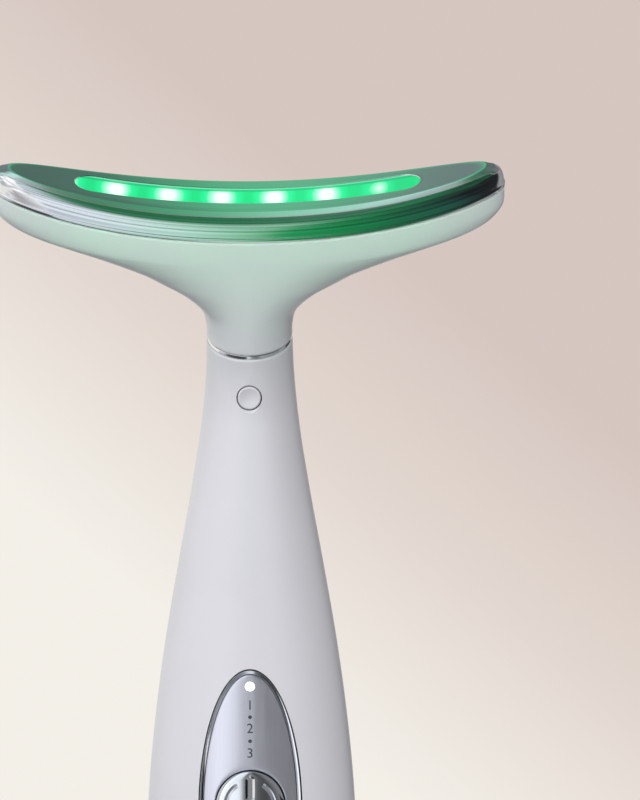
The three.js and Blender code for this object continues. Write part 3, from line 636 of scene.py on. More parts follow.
INNER_FINISHES = {
    "lamp_white": plain_part("lamp_body", (0.9, 0.92, 0.88), 0, 0.4),
    "board_green": plain_part("board_green", (0.02, 0.13, 0.06), 0, 0.45),
    "frame_plastic": plain_part("frame_grey", (0.33, 0.33, 0.36), 0, 0.6),
    "switch_plastic": dark_gap,
    "steel": steel,
    "sleeve_rubber": plain_part("sleeve_rubber", (0.03, 0.03, 0.032), 0, 0.85),
    "cell_foil": plain_part("cell_foil", (0.05, 0.12, 0.34), 0.4, 0.4),
    "foam": plain_part("foam_grey", (0.15, 0.15, 0.16), 0, 0.95),
    "heater_film": plain_part("heater_film", (0.45, 0.17, 0.03), 0.1, 0.45),
}


# Handle: two half shells and the base cap

GROOVE_DEPTH = 0.12 * MM
GROOVE_REACH = 0.4 * MM
EDGE_OFFSETS = [0.05 * MM, 0.1 * MM, 0.17 * MM, 0.28 * MM, 0.45 * MM]
ROUND_START = 1.3 * EDGE_OFFSETS[-1]  # distance from the seam where the even steps begin


def groove(distance):
    """How far a skin draws back beside a parting line."""
    return GROOVE_DEPTH * max(0, 1 - distance / GROOVE_REACH) ** 2


def half_section(place, side, end_distance):
    """One half of the handle's section as a closed loop: out along the skin, back inside."""
    half_width, half_depth, power = handle_size(place)
    first = math.asin((ROUND_START / half_depth) ** (power / 2))
    matrix = spine_frame(place)
    loop = []
    for inset in (0, HANDLE_WALL):
        points = []
        drawn = groove(end_distance) if not inset else 0
        for y in EDGE_OFFSETS:
            x = half_width * (1 - (y / half_depth) ** power) ** (1 / power)
            points.append((x - inset - drawn - (groove(y) if not inset else 0), y))
        for k in range(SIDE_STEPS + 1):
            angle = first + (math.pi - 2 * first) * k / SIDE_STEPS
            x = (half_width - inset - drawn) * signed_power(math.cos(angle), 2 / power)
            y = (half_depth - inset - drawn) * math.sin(angle) ** (2 / power)
            points.append((x, y))
        points += [(-x, y) for x, y in reversed(points[: len(EDGE_OFFSETS)])]
        loop += points if not inset else reversed(points)
    return [matrix @ Vector((x, side * y, 0)) for x, y in loop]


def shell_places():
    """Places of the shells' rings, closer together at both ends."""
    start, end = CAP_HEIGHT + SEAM, BEND_END
    inner = [mix(start, end, k / HANDLE_RINGS) for k in range(1, HANDLE_RINGS)]
    offsets = [0, *EDGE_OFFSETS]
    low = [start + d for d in offsets]
    high = [end - d for d in reversed(offsets)]
    inner = [p for p in inner if low[-1] < p < high[0]]
    return low + inner + high


def half_shell(name, side, node):
    places = shell_places()
    low, high = places[0], places[-1]
    rings = [half_section(p, side, min(p - low, high - p)) for p in places]
    return piece(name, loft(rings, 1), housing_white, node)


def panel_outline(margin, phi):
    x = (PANEL_WIDTH / 2 + margin) * math.cos(phi)
    z = PANEL_Z + (PANEL_LENGTH / 2 + margin) * math.sin(phi)
    return x, z


def panel_ring(margin, y_at):
    """Ring round the panel, at a Y that follows from Z and X."""
    outline = [panel_outline(margin, phi) for phi in around(OUTLINE_STEPS)]
    return [Vector((x, y_at(z, x), z)) for x, z in outline]


CUT_END = -2 * MM  # the cuts in the front shell end this far before its middle plane
HOLE_CHAMFER = 0.14 * MM
HOLE_FLARE = 1 * MM
HOLE_STEPS = 96


def panel_cutter():
    levels = (HANDLE_Y - GRIP_DEPTH, HANDLE_Y + CUT_END)
    rings = [panel_ring(TRIM_WIDTH + TRIM_GAP, lambda z, x: y) for y in levels]
    return piece("panel_cutter", loft(rings))


def neck_hole_cutter():
    radius = NECK_BUTTON_RADIUS + BUTTON_GAP
    profile = [
        (0, NECK_FRONT - 2 * HOLE_FLARE),
        (radius + 2 * HOLE_CHAMFER + HOLE_FLARE, NECK_FRONT - HOLE_FLARE),
        (radius + HOLE_CHAMFER, NECK_FRONT),
        (radius, NECK_FRONT + HOLE_CHAMFER),
        (radius, CUT_END),
        (0, CUT_END),
    ]
    return piece("neck_hole_cutter", placed(turned(profile, HOLE_STEPS), NECK_BUTTON))


def build_handle():
    front = half_shell("grip_front", -1, "handle_front_shell")
    carve(front, panel_cutter(), neck_hole_cutter())
    half_shell("grip_back", 1, "handle_back_shell")


# Base cap and charging socket

SOCKET_LOW, SOCKET_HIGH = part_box("usb_c_socket")
SOCKET_WIDTH = SOCKET_HIGH.x - SOCKET_LOW.x
SOCKET_DEPTH = SOCKET_HIGH.y - SOCKET_LOW.y
SOCKET_Y = middle("usb_c_socket").y
SOCKET_STEPS = 96
SOCKET_WALL = 0.35 * MM
SOCKET_EDGE = 0.12 * MM
SOCKET_GAP = 0.3 * MM  # all round, in the cap's mouth
SOCKET_TOP = SOCKET_HIGH.z - 1 * MM
SOCKET_BACK = 0.6 * MM
TONGUE_SIZE = (6.6 * MM, 0.7 * MM, 4.4 * MM)
TONGUE_HEIGHT = 3.6 * MM
CONTACT_SIZE = (0.24 * MM, 0.05 * MM, 2.6 * MM)
CONTACT_HEIGHT = 3.1 * MM
CONTACT_OUT = 0.36 * MM
CONTACT_PITCH = 0.5 * MM
CONTACTS = 12
MOUTH_OVERRUN = 1 * MM


def slot_ring(wider, z):
    """Ring of the socket's slot with round ends, in a level plane."""
    radius = (SOCKET_DEPTH + wider) / 2
    straight = (SOCKET_WIDTH + wider) / 2 - radius
    ring = []
    for a in around(SOCKET_STEPS, 0.5):
        x = math.copysign(straight, math.cos(a)) + radius * math.cos(a)
        ring.append(Vector((x, SOCKET_Y + radius * math.sin(a), z)))
    return ring


def build_base_cap():
    rows = [(drop, inset) for inset, drop in reversed(quarter(CAP_ROUND, CAP_STEPS))]
    rows += [(mix(CAP_ROUND, CAP_HEIGHT, k / CAP_STEPS), 0) for k in range(1, CAP_STEPS)]
    rows += [(CAP_HEIGHT - d, groove(d)) for d in reversed([0, *EDGE_OFFSETS])]
    rows += [(CAP_HEIGHT, HANDLE_WALL), (CAP_FLOOR, HANDLE_WALL)]
    rings = [handle_ring(place, inset) for place, inset in rows]
    cap = piece("base_shell", loft(rings), housing_white, "base_cap")
    levels = (-MOUTH_OVERRUN, CAP_FLOOR + MOUTH_OVERRUN)
    mouth = capped([slot_ring(2 * SOCKET_GAP, z) for z in levels])
    carve(cap, piece("mouth_cutter", mouth))


def build_socket():
    """Charging socket: a drawn steel shell, its tongue and the contacts on both sides of it."""
    foot = SOCKET_LOW.z
    rows = [(0, foot + SOCKET_EDGE), (SOCKET_EDGE, foot), (SOCKET_WALL - SOCKET_EDGE, foot)]
    rows += [(SOCKET_WALL, foot + SOCKET_EDGE), (SOCKET_WALL, SOCKET_TOP), (0, SOCKET_TOP)]
    shell = chain([slot_ring(-2 * inset, z) for inset, z in rows])
    piece("socket_shell", shell, steel, "usb_c_socket")
    levels = (SOCKET_TOP - SOCKET_BACK, SOCKET_TOP)
    piece("socket_back", capped([slot_ring(-SOCKET_WALL, z) for z in levels]), dark_gap)
    tongue = rounded_box(TONGUE_SIZE, Vector((0, SOCKET_Y, foot + TONGUE_HEIGHT)))
    piece("socket_tongue", tongue, dark_gap)
    for face, y in (("front", -CONTACT_OUT), ("back", CONTACT_OUT)):
        for k in range(CONTACTS):
            x = (k - (CONTACTS - 1) / 2) * CONTACT_PITCH
            pad = rounded_box(CONTACT_SIZE, Vector((x, SOCKET_Y + y, foot + CONTACT_HEIGHT)))
            piece(f"socket_contact_{face}_{k + 1}", pad, contact_gold)


# Neck ring, head housing, working plate and window

RING_EDGE = 0.1 * MM
RING_DEPTH = 2 * MM
# Rounding of the neck ring, in shares of its edge: [height over the ring's foot, inset]
RING_SHARES = [(0, 0.8), (0.4, 0.2), (1, 0), (1.2, 0)]
HOUSING_LIP = 2 * MM


def build_neck_ring():
    foot = -RING_HEIGHT / 2
    rows = [(foot, RING_DEPTH)]
    rows += [(foot + RING_EDGE * up, RING_INSET + RING_EDGE * back) for up, back in RING_SHARES]
    rows += [(-height, inset) for height, inset in reversed(rows)]
    shape = chain([crescent_ring(0, 0, inset, height, 0) for height, inset in rows])
    piece("bright_ring", placed(shape, HEAD), chrome, "neck_ring")


def build_housing():
    foot = JOINT_HALF / SEAM_HEIGHT
    top = 1 - SEAM / SEAM_HEIGHT
    shares = [mix(foot, top, k / HOUSING_RINGS) for k in range(HOUSING_RINGS + 1)]
    offsets = [d / SEAM_HEIGHT for d in EDGE_OFFSETS]
    shares = shares[:1] + [foot + d for d in offsets] + shares[1:-1]
    shares = sorted(s for s in shares if s < top - offsets[-1])
    shares += [top - d for d in reversed(offsets)] + [top]
    rings = []
    for s in shares:
        length, depth = housing_shape(s)
        inset = groove(min(s - foot, top - s) * SEAM_HEIGHT)
        rings.append(crescent_ring(length, depth, inset, s * SEAM_HEIGHT, s))
    for drop in (0, HOUSING_LIP):
        rings.append(crescent_ring(1, 1, HOUSING_WALL, top * SEAM_HEIGHT - drop, 1))
    shape = placed(loft(rings), HEAD)
    piece("head_shell", shape, housing_white, "head_housing")


def rounded_path(corners):
    """Path through [x, y, radius] corners, each rounded by its own radius."""
    path = [Vector(corners[0][:2])]
    for before, here, after in zip(corners, corners[1:], corners[2:]):
        corner = Vector(here[:2])
        back = Vector(before[:2]) - corner
        on = Vector(after[:2]) - corner
        reach = min(here[2], back.length * 0.49, on.length * 0.49)
        start, end = corner + back.normalized() * reach, corner + on.normalized() * reach
        for k in range(EDGE_STEPS + 1):
            t = k / EDGE_STEPS
            path.append(start * (1 - t) ** 2 + corner * 2 * t * (1 - t) + end * t**2)
    path.append(Vector(corners[-1][:2]))
    return path


# Rim of the working plate as corners of [inset, height, rounding] in millimetres, from the
# seam up to the face
RIM_CORNERS = [
    [0.10, 0.0, 0], [-0.04, 0.10, 0.1], [-0.04, 0.60, 0.16], [0.10, 0.76, 0.1],
    [0.23, 1.7, 0.5], [0.5, 2.5, 0.5], [0.9, 3.15, 0.4], [1.52, 3.66, 0.16],
    [1.72, 3.78, 0.1], [2.86, 4.34, 0.3], [3.6, 4.4, 0],
]
FACE_SHARES = (0.15, 0.3, 0.45, 0.6, 0.75, 0.88, 0.96, 1)  # of the way from rim to window
# The window's opening as [wider than the window, depth under the face]
OPENING = [(0.06 * MM, 0.05 * MM), (0, 0.12 * MM), (0, PLATE_WALL)]
OPENING_BEVEL = 0.1 * MM
# The plate's inside as [inset, height]
PLATE_INSIDE = [
    (FACE_INSET + PLATE_WALL, FACE_HEIGHT - PLATE_WALL),
    (HOUSING_WALL + PLATE_WALL, SEAM_HEIGHT + HOUSING_LIP),
    (PLATE_WALL, SEAM_HEIGHT),
]
WINDOW_EDGE = 0.3 * MM
WINDOW_EDGE_DROP = 0.3  # of the edge's width


def build_plate():
    path = rounded_path([[value * MM for value in corner] for corner in RIM_CORNERS])
    rings = [crescent_ring(1, 1, inset, SEAM_HEIGHT + height, 1) for inset, height in path]
    rim = rings[-1]
    lip = window_ring(2 * OPENING_BEVEL, 0)
    for share in FACE_SHARES:
        ring = [a.lerp(b, share) for a, b in zip(rim, lip)]
        rings.append([Vector((p.x, p.y, FACE_HEIGHT + face_lift(p.x))) for p in ring])
    rings += [window_ring(wider, drop) for wider, drop in OPENING]
    rings += [crescent_ring(1, 1, inset, height, 1) for inset, height in PLATE_INSIDE]
    shape = placed(chain(rings), HEAD)
    piece("work_plate", shape, chrome, "face_plate")


def build_window():
    rings = [window_ring(-2 * WINDOW_GAP, WINDOW_SINK + WINDOW_THICKNESS)]
    for inset, drop in quarter(WINDOW_EDGE):
        depth = WINDOW_SINK + drop * WINDOW_EDGE_DROP
        rings.append(window_ring(-2 * (WINDOW_GAP + inset), depth))
    shape = placed(loft(rings), HEAD)
    piece("lit_window", shape, window_green, "light_window")


# Control panel, its edge and the status lamp

# Section of the panel from the button's hole to the rim: [share of the way, depth behind the
# grip's skin]
PANEL_STEPS = 16
PANEL_SECTION = [
    (0, 0.16 * MM),
    (0.012, 0.05 * MM),
    (0.03, 0.01 * MM),
    *((mix(0.03, 0.97, k / PANEL_STEPS), 0) for k in range(1, PANEL_STEPS + 1)),
    (0.985, 0.01 * MM),
    (0.994, 0.05 * MM),
    (1, 0.16 * MM),
]
# Section of the edge round the panel: [share of its width outward, depth behind the grip's skin]
TRIM_SECTION = [
    (0, PANEL_THICKNESS),
    (0, 0.16 * MM),
    (0.07, 0.09 * MM),
    (0.92, -0.11 * MM),
    (0.96, -TRIM_PROUD),
    (0.99, -0.1 * MM),
    (1, -0.05 * MM),
    (1, PANEL_THICKNESS),
]
# Profile of the status lamp's lens: [share of its radius, depth]
LENS_SECTION = [
    (0, -0.1 * MM),
    (0.35 / 0.9, -0.085 * MM),
    (0.65 / 0.9, -0.045 * MM),
    (0.82 / 0.9, 0),
    (1, 0.1 * MM),
    (1, 1 * MM),
    (0, 1 * MM),
]
LENS_STEPS = 48


def build_panel():
    """Curved plate between the button's round hole and the oval."""
    hole = POWER_RADIUS + BUTTON_GAP
    rings = []
    for share, drop in PANEL_SECTION:
        ring = []
        for phi in around(OUTLINE_STEPS):
            rim_x, rim_z = panel_outline(-SEAM, phi)
            x = mix(hole * math.cos(phi), rim_x, share)
            z = mix(POWER_Z + hole * math.sin(phi), rim_z, share)
            ring.append(Vector((x, front_at(z, x) + drop, z)))
        rings.append(ring)
    for ring in (rings[-1], rings[0]):
        rings.append([Vector((p.x, front_at(p.z, p.x) + PANEL_THICKNESS, p.z)) for p in ring])
    piece("panel_face", chain(rings), panel_metal, "control_panel")


def build_trim():
    """Fine bright edge round the panel, sloping inward."""
    rings = [
        panel_ring(TRIM_WIDTH * share, lambda z, x: front_at(z, x) + drop)
        for share, drop in TRIM_SECTION
    ]
    piece("panel_edge", chain(rings), button_metal, "panel_trim")


def build_status_lens():
    shape = turned([(STATUS_RADIUS * share, drop) for share, drop in LENS_SECTION], LENS_STEPS)
    shape = placed(shape, Matrix.Translation((0, front_at(STATUS_Z), STATUS_Z)))
    piece("status_lens", shape, lamp_white, "status_light_pipe")


# Power button with its mark, and neck button

BUTTON_DOME = 0.4 * MM
DOME_STEPS = 16
BUTTON_STEPS = 160
# The button's edge: [share of the radius, depth behind the dome's lip]
BUTTON_EDGE = [(0.93, -0.03 * MM), (0.97, 0.06 * MM), (0.993, 0.2 * MM), (1, 0.5 * MM)]
BUTTON_FLANGE = 0.9 * MM
BUTTON_FLANGE_THICKNESS = 0.8 * MM
MARK_STEPS = 96
MARK_ENDS = 4  # steps over which the ring's two ends narrow
MARK_RADIUS = 4.05 * MM
MARK_LINE = 0.55 * MM
MARK_FLOOR_SHARE = 1 / 6  # half the groove's floor, of the line's width
MARK_END_SHARE = 0.05  # least width, of the floor's
MARK_DEPTH = 0.24 * MM
MARK_SLOPE = 1.3
MARK_OPENING = math.radians(62)
MARK_RISE = 1.2 * MM
BAR_WIDTH = 0.75 * MM
BAR_DEPTH = 0.27 * MM
BAR_SLOPE = 1.4
BAR_EDGE = BAR_WIDTH / 2 + BAR_DEPTH * BAR_SLOPE
BAR_LEVELS = [0, 0.09 * MM, 0.18 * MM, 0.27 * MM, 0.5 * MM]
BAR_TOP = 5 * MM
BAR_BOTTOM = 0.6 * MM
BAR_STEPS = 10
BAR_END_SHARE = 0.995
BAR_LEAST = 0.002 * MM
LEVEL_SPREAD = 0.01  # keeps the levels apart at the bar's round ends


def build_power_button():
    low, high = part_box("power_button")
    front, back = low.y, high.y
    lip = front + BUTTON_DOME
    flange = back - BUTTON_FLANGE_THICKNESS
    r = POWER_RADIUS
    profile = [
        (r * k / DOME_STEPS, front + BUTTON_DOME * (k / DOME_STEPS) ** 2)
        for k in range(DOME_STEPS - 1)
    ]
    profile += [(r * share, lip + drop) for share, drop in BUTTON_EDGE]
    profile += [(r, flange), (r + BUTTON_FLANGE, flange), (r + BUTTON_FLANGE, back), (0, back)]
    shape = placed(turned(profile, BUTTON_STEPS), Matrix.Translation((0, 0, POWER_Z)))
    cap = piece("power_cap", shape, button_metal, "power_button", "power_button")
    carve(cap, mark_ring_cutter(front), mark_bar_cutter(front))


def mark_ring_cutter(front):
    """Groove of the mark's ring, which is open at the top and has sloped walls."""
    half = MARK_LINE * MARK_FLOOR_SHARE
    run = MARK_RISE * MARK_SLOPE
    floor = front + BUTTON_DOME * (MARK_RADIUS / POWER_RADIUS) ** 2 + MARK_DEPTH
    top = floor - MARK_RISE
    start = math.pi / 2 + MARK_OPENING / 2
    sweep = 2 * math.pi - MARK_OPENING
    sections = []
    for k in range(MARK_STEPS + 1):
        angle = start + sweep * k / MARK_STEPS
        ease = min(1, min(k, MARK_STEPS - k) / MARK_ENDS)
        wide = half * math.sqrt(1 - (1 - ease) ** 2) + half * MARK_END_SHARE
        loop = []
        for r, y in ((-wide - run, top), (-wide, floor), (wide, floor), (wide + run, top)):
            radius = MARK_RADIUS + r
            loop.append(Vector((radius * math.cos(angle), y, POWER_Z + radius * math.sin(angle))))
        sections.append(loop)
    return piece("mark_ring", capped(sections))


def mark_bar_cutter(front):
    """Stadium-shaped trough with sloped walls, whose floor follows the dome."""
    bottom, top = BAR_BOTTOM + BAR_EDGE, BAR_TOP - BAR_EDGE
    end_radius = (BAR_WIDTH / 2 + BAR_LEVELS[-1] * BAR_SLOPE) * BAR_END_SHARE
    angles = [math.pi / 2 * k / BAR_STEPS for k in range(BAR_STEPS + 1)]
    rows = [(bottom - end_radius * math.cos(a), bottom) for a in angles]
    rows += [(top + end_radius * math.sin(a), top) for a in angles]
    sections = []
    for z, end in rows:
        beyond = abs(z - end)
        half_loop = []
        for rise in BAR_LEVELS:
            lift = max(rise, (beyond - BAR_WIDTH / 2) / BAR_SLOPE + rise * LEVEL_SPREAD)
            reach = BAR_WIDTH / 2 + lift * BAR_SLOPE
            x = math.sqrt(max(reach**2 - beyond**2, 0)) + BAR_LEAST
            y = front + BAR_DEPTH - lift + BUTTON_DOME * (x**2 + z**2) / POWER_RADIUS**2
            half_loop.append((x, y))
        loop = [(-x, y) for x, y in reversed(half_loop)] + half_loop
        sections.append([Vector((x, y, POWER_Z + z)) for x, y in loop])
    return piece("mark_bar", capped(sections))


NECK_DISH = 0.324 * MM
NECK_DISH_SHARE = 0.86
NECK_DISH_STEPS = 10
NECK_STEPS = 128
# The neck button's edge: [share of the radius, depth behind the neck's front]
NECK_EDGE = [(0.93, 0.015 * MM), (0.98, 0.07 * MM), (1, 0.18 * MM)]
NECK_FLANGE = 0.6 * MM
NECK_BACK = NECK_FRONT + HANDLE_WALL + 0.9 * MM


def build_neck_button():
    r = NECK_BUTTON_RADIUS
    outer = r + NECK_FLANGE
    shares = [k / NECK_DISH_STEPS for k in range(NECK_DISH_STEPS + 1)]
    profile = [(r * NECK_DISH_SHARE * s, NECK_FRONT + NECK_DISH * (1 - s**2)) for s in shares]
    profile += [(r * share, NECK_FRONT + drop) for share, drop in NECK_EDGE]
    profile += [(r, NECK_BACK - NECK_FLANGE), (outer, NECK_BACK - NECK_FLANGE)]
    profile += [(outer, NECK_BACK), (0, NECK_BACK)]
    shape = placed(turned(profile, NECK_STEPS), NECK_BUTTON)
    piece("neck_cap", shape, housing_white, "neck_button", "neck_button")


# Marks printed on the panel: plain numerals with dots between them

NUMERAL_HEIGHT = 1.55 * MM
HEIGHT_SHARE = 0.7  # of a font's size that a numeral's height is
NUMERAL_PLACES = [74.8 * MM, 71.0 * MM, 67.0 * MM]
DOT_PLACES = [72.9 * MM, 69.0 * MM]
PRINT_PROUD = 0.012 * MM
DOT_STEPS = 24
DOT_PROFILE = [
    (0, -PRINT_PROUD),
    (0.24 * MM, -PRINT_PROUD),
    (0.3 * MM, 0),
    (0.3 * MM, PRINT_PROUD),
    (0, PRINT_PROUD),
]
SLOPE_STEP = 0.5 * MM


def printed(name, z, mesh):
    """Lays a flat print on the panel's slope at a height."""
    rise = front_at(z + SLOPE_STEP) - front_at(z - SLOPE_STEP)
    slope = math.atan2(rise, 2 * SLOPE_STEP)
    place = Matrix.Translation((0, front_at(z) - PRINT_PROUD, z))
    mesh.transform(place @ Matrix.Rotation(math.pi / 2 - slope, 4, "X"))
    mesh.materials.clear()
    mesh.materials.append(ink)
    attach(linked(name, mesh), BODY)


def build_prints():
    for number, z in enumerate(NUMERAL_PLACES, 1):
        text = bpy.data.curves.new(f"numeral_{number}", "FONT")
        text.body = str(number)
        text.size = NUMERAL_HEIGHT / HEIGHT_SHARE
        text.align_x, text.align_y = "CENTER", "CENTER"
        text.extrude = PRINT_PROUD
        source = linked("text", text)
        printed(f"mode_numeral_{number}", z, mesh_after(source))
        bpy.data.objects.remove(source)
    for number, z in enumerate(DOT_PLACES, 1):
        points, faces = turned(DOT_PROFILE, DOT_STEPS)
        mesh = new_mesh(f"dot_{number}", [(p.x, -p.z, -p.y) for p in points], faces)
        printed(f"mode_dot_{number}", z, mesh)


def finish_inner_nodes():
    """The solids that stay shown, inside the device, get their own finishes."""
    for row in frame["record"]["subparts"]:
        node = frame["nodes"][row["node"]]
        if not node.hide_render and row["material_slot"] in INNER_FINISHES:
            node.data.materials.clear()
            node.data.materials.append(INNER_FINISHES[row["material_slot"]])


# Cards that only the object's reflections show. They stand in for the room that the bright
# metal reflects, and give no light of their own to the rest.

CLOUDS = (0.85, 1.15, (0.3, 0.7))  # the tone's least and most, between these values of noise


def reflected_card(name, paths, finish):
    """A sheet between rows of points that only the object's reflections show."""
    points = flat(paths)
    steps = len(paths[0])
    starts = [k for k in range(len(points) - steps) if (k + 1) % steps]
    mesh = new_mesh(name, points, [(k, k + 1, k + steps + 1, k + steps) for k in starts])
    mesh.materials.append(finish.material)
    obj = linked(name, mesh)
    for ray in ("camera", "diffuse", "shadow", "transmission", "volume_scatter"):
        setattr(obj, f"visible_{ray}", False)
    return obj


def lit_card(name, paths, colors, grain=(12,), clouds=CLOUDS, one_sided=False):
    """Card with clouded light of its own, in colours that follow from a point's X, Y and Z."""
    finish = Finish(name, (0, 0, 0), 0, 1)
    color = colors(finish, *finish.place())
    soft = finish.mapped(finish.noise(*grain), *clouds)
    glow = finish.add("VectorMath", {0: color, "Scale": soft}, operation="SCALE")
    finish.shade({"Specular IOR Level": 0, "Emission Strength": 1})
    finish.shade({"Emission Color": glow.outputs["Vector"]})
    if one_sided:
        show_front_only(finish)
    reflected_card(name, paths, finish)


def show_front_only(finish):
    """From behind the card lets everything through."""
    behind = finish.add("NewGeometry").outputs["Backfacing"]
    clear = finish.add("BsdfTransparent").outputs["BSDF"]
    blend = finish.add("MixShader", {0: behind, 1: finish.shader.outputs["BSDF"], 2: clear})
    out = finish.tree.nodes["Material Output"]
    finish.feed(out.inputs["Surface"], blend.outputs["Shader"])


KEY_CARD_PLACE = (-0.6, -0.5, 0.52)
KEY_CARD_TARGET = (0, 0, 0.09)
KEY_CARD_HALF = 0.5
KEY_CARD_COLOR = (0.95, 0.96, 1)


def build_key_card():
    """The soft box on the left that the reflections show."""
    centre = Vector(KEY_CARD_PLACE)
    forward = (Vector(KEY_CARD_TARGET) - centre).normalized()
    side = forward.cross(Vector((0, 0, 1))).normalized() * KEY_CARD_HALF
    up = side.cross(forward)
    paths = [[centre + side * a + up * b for a in (-1, 1)] for b in (-1, 1)]
    clouds = (0.5, 1.3, (0.35, 0.65))
    lit_card("key_card", paths, lambda finish, x, y, z: KEY_CARD_COLOR, (3.5, 1), clouds)


# The green glow in front of the plate: [y, z] of the card's section, and its colours from left
# to right by X, low down and high up
GLOW_SECTION = [
    (-0.05, 0.104),
    (-0.09, 0.097),
    (-0.16, 0.102),
    (-0.25, 0.14),
    (-0.33, 0.22),
    (-0.36, 0.33),
    (-0.34, 0.45),
    (-0.28, 0.53),
    (-0.19, 0.575),
]
GLOW_REACH = 0.103
GLOW_SLOPES = (-0.4, -0.2, 0, 0.4, 1, 1.6)
GLOW_BLEND = (0.19, 0.30)  # heights between which the low colours turn into the high ones
GLOW_LOW = [
    (-0.12, 0.74, 0.78, 0.86), (-0.06, 0.68, 0.74, 0.82), (-0.035, 0.60, 0.75, 0.74),
    (-0.015, 0.44, 0.70, 0.59), (-0.004, 0.26, 0.56, 0.38), (0.001, 0.14, 0.42, 0.22),
    (0.004, 0.010, 0.28, 0.09), (0.02, 0.006, 0.20, 0.058), (0.048, 0.012, 0.10, 0.05),
    (0.08, 0.012, 0.06, 0.042), (0.11, 0.012, 0.03, 0.028), (0.14, 0.010, 0.013, 0.015),
]
GLOW_HIGH = [
    (-0.12, 0.55, 0.62, 0.68), (-0.06, 0.30, 0.42, 0.40), (-0.03, 0.03, 0.15, 0.08),
    (0.0, 0.012, 0.16, 0.06), (0.05, 0.012, 0.06, 0.035),
]


def glow_colors(finish, x, y, z):
    height = finish.mapped(z, 0, 1, GLOW_BLEND)
    return finish.mixed(height, finish.bands(x, GLOW_LOW), finish.bands(x, GLOW_HIGH))


def build_glow_card():
    paths = [[(slope * (GLOW_REACH - y), y, z) for y, z in GLOW_SECTION] for slope in GLOW_SLOPES]
    grain = (30, 3, (0.06, 1, 1))
    clouds = (0.45, 1.5, (0.38, 0.62))
    lit_card("glow_card", paths, glow_colors, grain, clouds, one_sided=True)


# What the panel and the button reflect, by X at the flag's distance
PANEL_FLAG = [
    (-1.3, 0.30, 0.30, 0.32), (-0.95, 0.85, 0.86, 0.90), (-0.62, 0.80, 0.80, 0.85),
    (-0.50, 0.44, 0.42, 0.43), (-0.38, 0.42, 0.40, 0.42), (-0.29, 0.60, 0.60, 0.64),
    (-0.22, 0.92, 0.93, 0.98), (-0.17, 1.3, 1.32, 1.38), (-0.12, 1.22, 1.24, 1.30),
    (-0.09, 1.0, 1.03, 1.10), (-0.065, 1.02, 1.04, 1.08), (-0.040, 0.96, 0.98, 1.0),
    (-0.031, 0.42, 0.43, 0.46), (-0.024, 0.10, 0.10, 0.105), (-0.016, 0.14, 0.14, 0.15),
    (-0.006, 0.36, 0.36, 0.37), (0.004, 0.26, 0.26, 0.265), (0.018, 0.10, 0.10, 0.10),
    (0.045, 0.065, 0.065, 0.067), (0.08, 0.15, 0.15, 0.153), (0.17, 0.23, 0.23, 0.235),
]
PANEL_FLAG_HEIGHTS = (0.001, 0.095)
PANEL_FLAG_ENDS = (-0.42, 0.17)
FLAG_DISTANCE = 0.361
FAN_CLOUDS = (0.88, 1.12, (0.3, 0.7))
CANOPY_HEIGHT = 0.0935
CANOPY_ENDS = (0.3, -0.26)
CANOPY_REACH = (-0.0135, -0.355)
FLOOR_FLAG_ENDS = (-0.62, 0.17)
ON_FLOOR = 0.0006
NEAR_FLOOR = (-0.172, 0.35)
FAR_FLOOR = (-0.36, -0.173)
# What the neck ring reflects in the floor in front of the device, by X
RING_FLAG = [
    (-0.4, 0.62, 0.62, 0.66), (-0.27, 0.50, 0.50, 0.53), (-0.215, 0.08, 0.08, 0.085),
    (-0.05, 0.045, 0.045, 0.047), (-0.024, 0.16, 0.16, 0.165), (-0.012, 0.80, 0.81, 0.84),
    (0.004, 0.66, 0.67, 0.70), (0.024, 0.26, 0.27, 0.28), (0.06, 0.17, 0.175, 0.18),
    (0.12, 0.32, 0.33, 0.34), (0.4, 0.2, 0.2, 0.21),
]


def fan_colors(finish, x, y, z):
    """The panel flag's colours, which spread out from the grip."""
    away = finish.calc("MULTIPLY", y, -1 / FLAG_DISTANCE)
    return finish.bands(finish.calc("DIVIDE", x, away), PANEL_FLAG)


def level_paths(xs, ys, z):
    return [[(x, y, z) for x in xs] for y in ys]


def build_floor_flags():
    far = level_paths(FLOOR_FLAG_ENDS, FAR_FLOOR, ON_FLOOR)
    lit_card("floor_flag", far, fan_colors, clouds=FAN_CLOUDS, one_sided=True)
    near = level_paths((RING_FLAG[0][0], RING_FLAG[-1][0]), NEAR_FLOOR, ON_FLOOR)
    lit_card("ring_flag", near, lambda finish, x, y, z: finish.bands(x, RING_FLAG), one_sided=True)


def build_panel_flag():
    """In front of the grip and above, for the shades on the panel and the button."""
    paths = [[(x, -FLAG_DISTANCE, z) for x in PANEL_FLAG_ENDS] for z in PANEL_FLAG_HEIGHTS]
    lit_card("panel_flag", paths, fan_colors, clouds=FAN_CLOUDS)
    paths = [[(x, y, CANOPY_HEIGHT) for y in CANOPY_REACH] for x in CANOPY_ENDS]
    lit_card("canopy", paths, fan_colors, clouds=FAN_CLOUDS, one_sided=True)


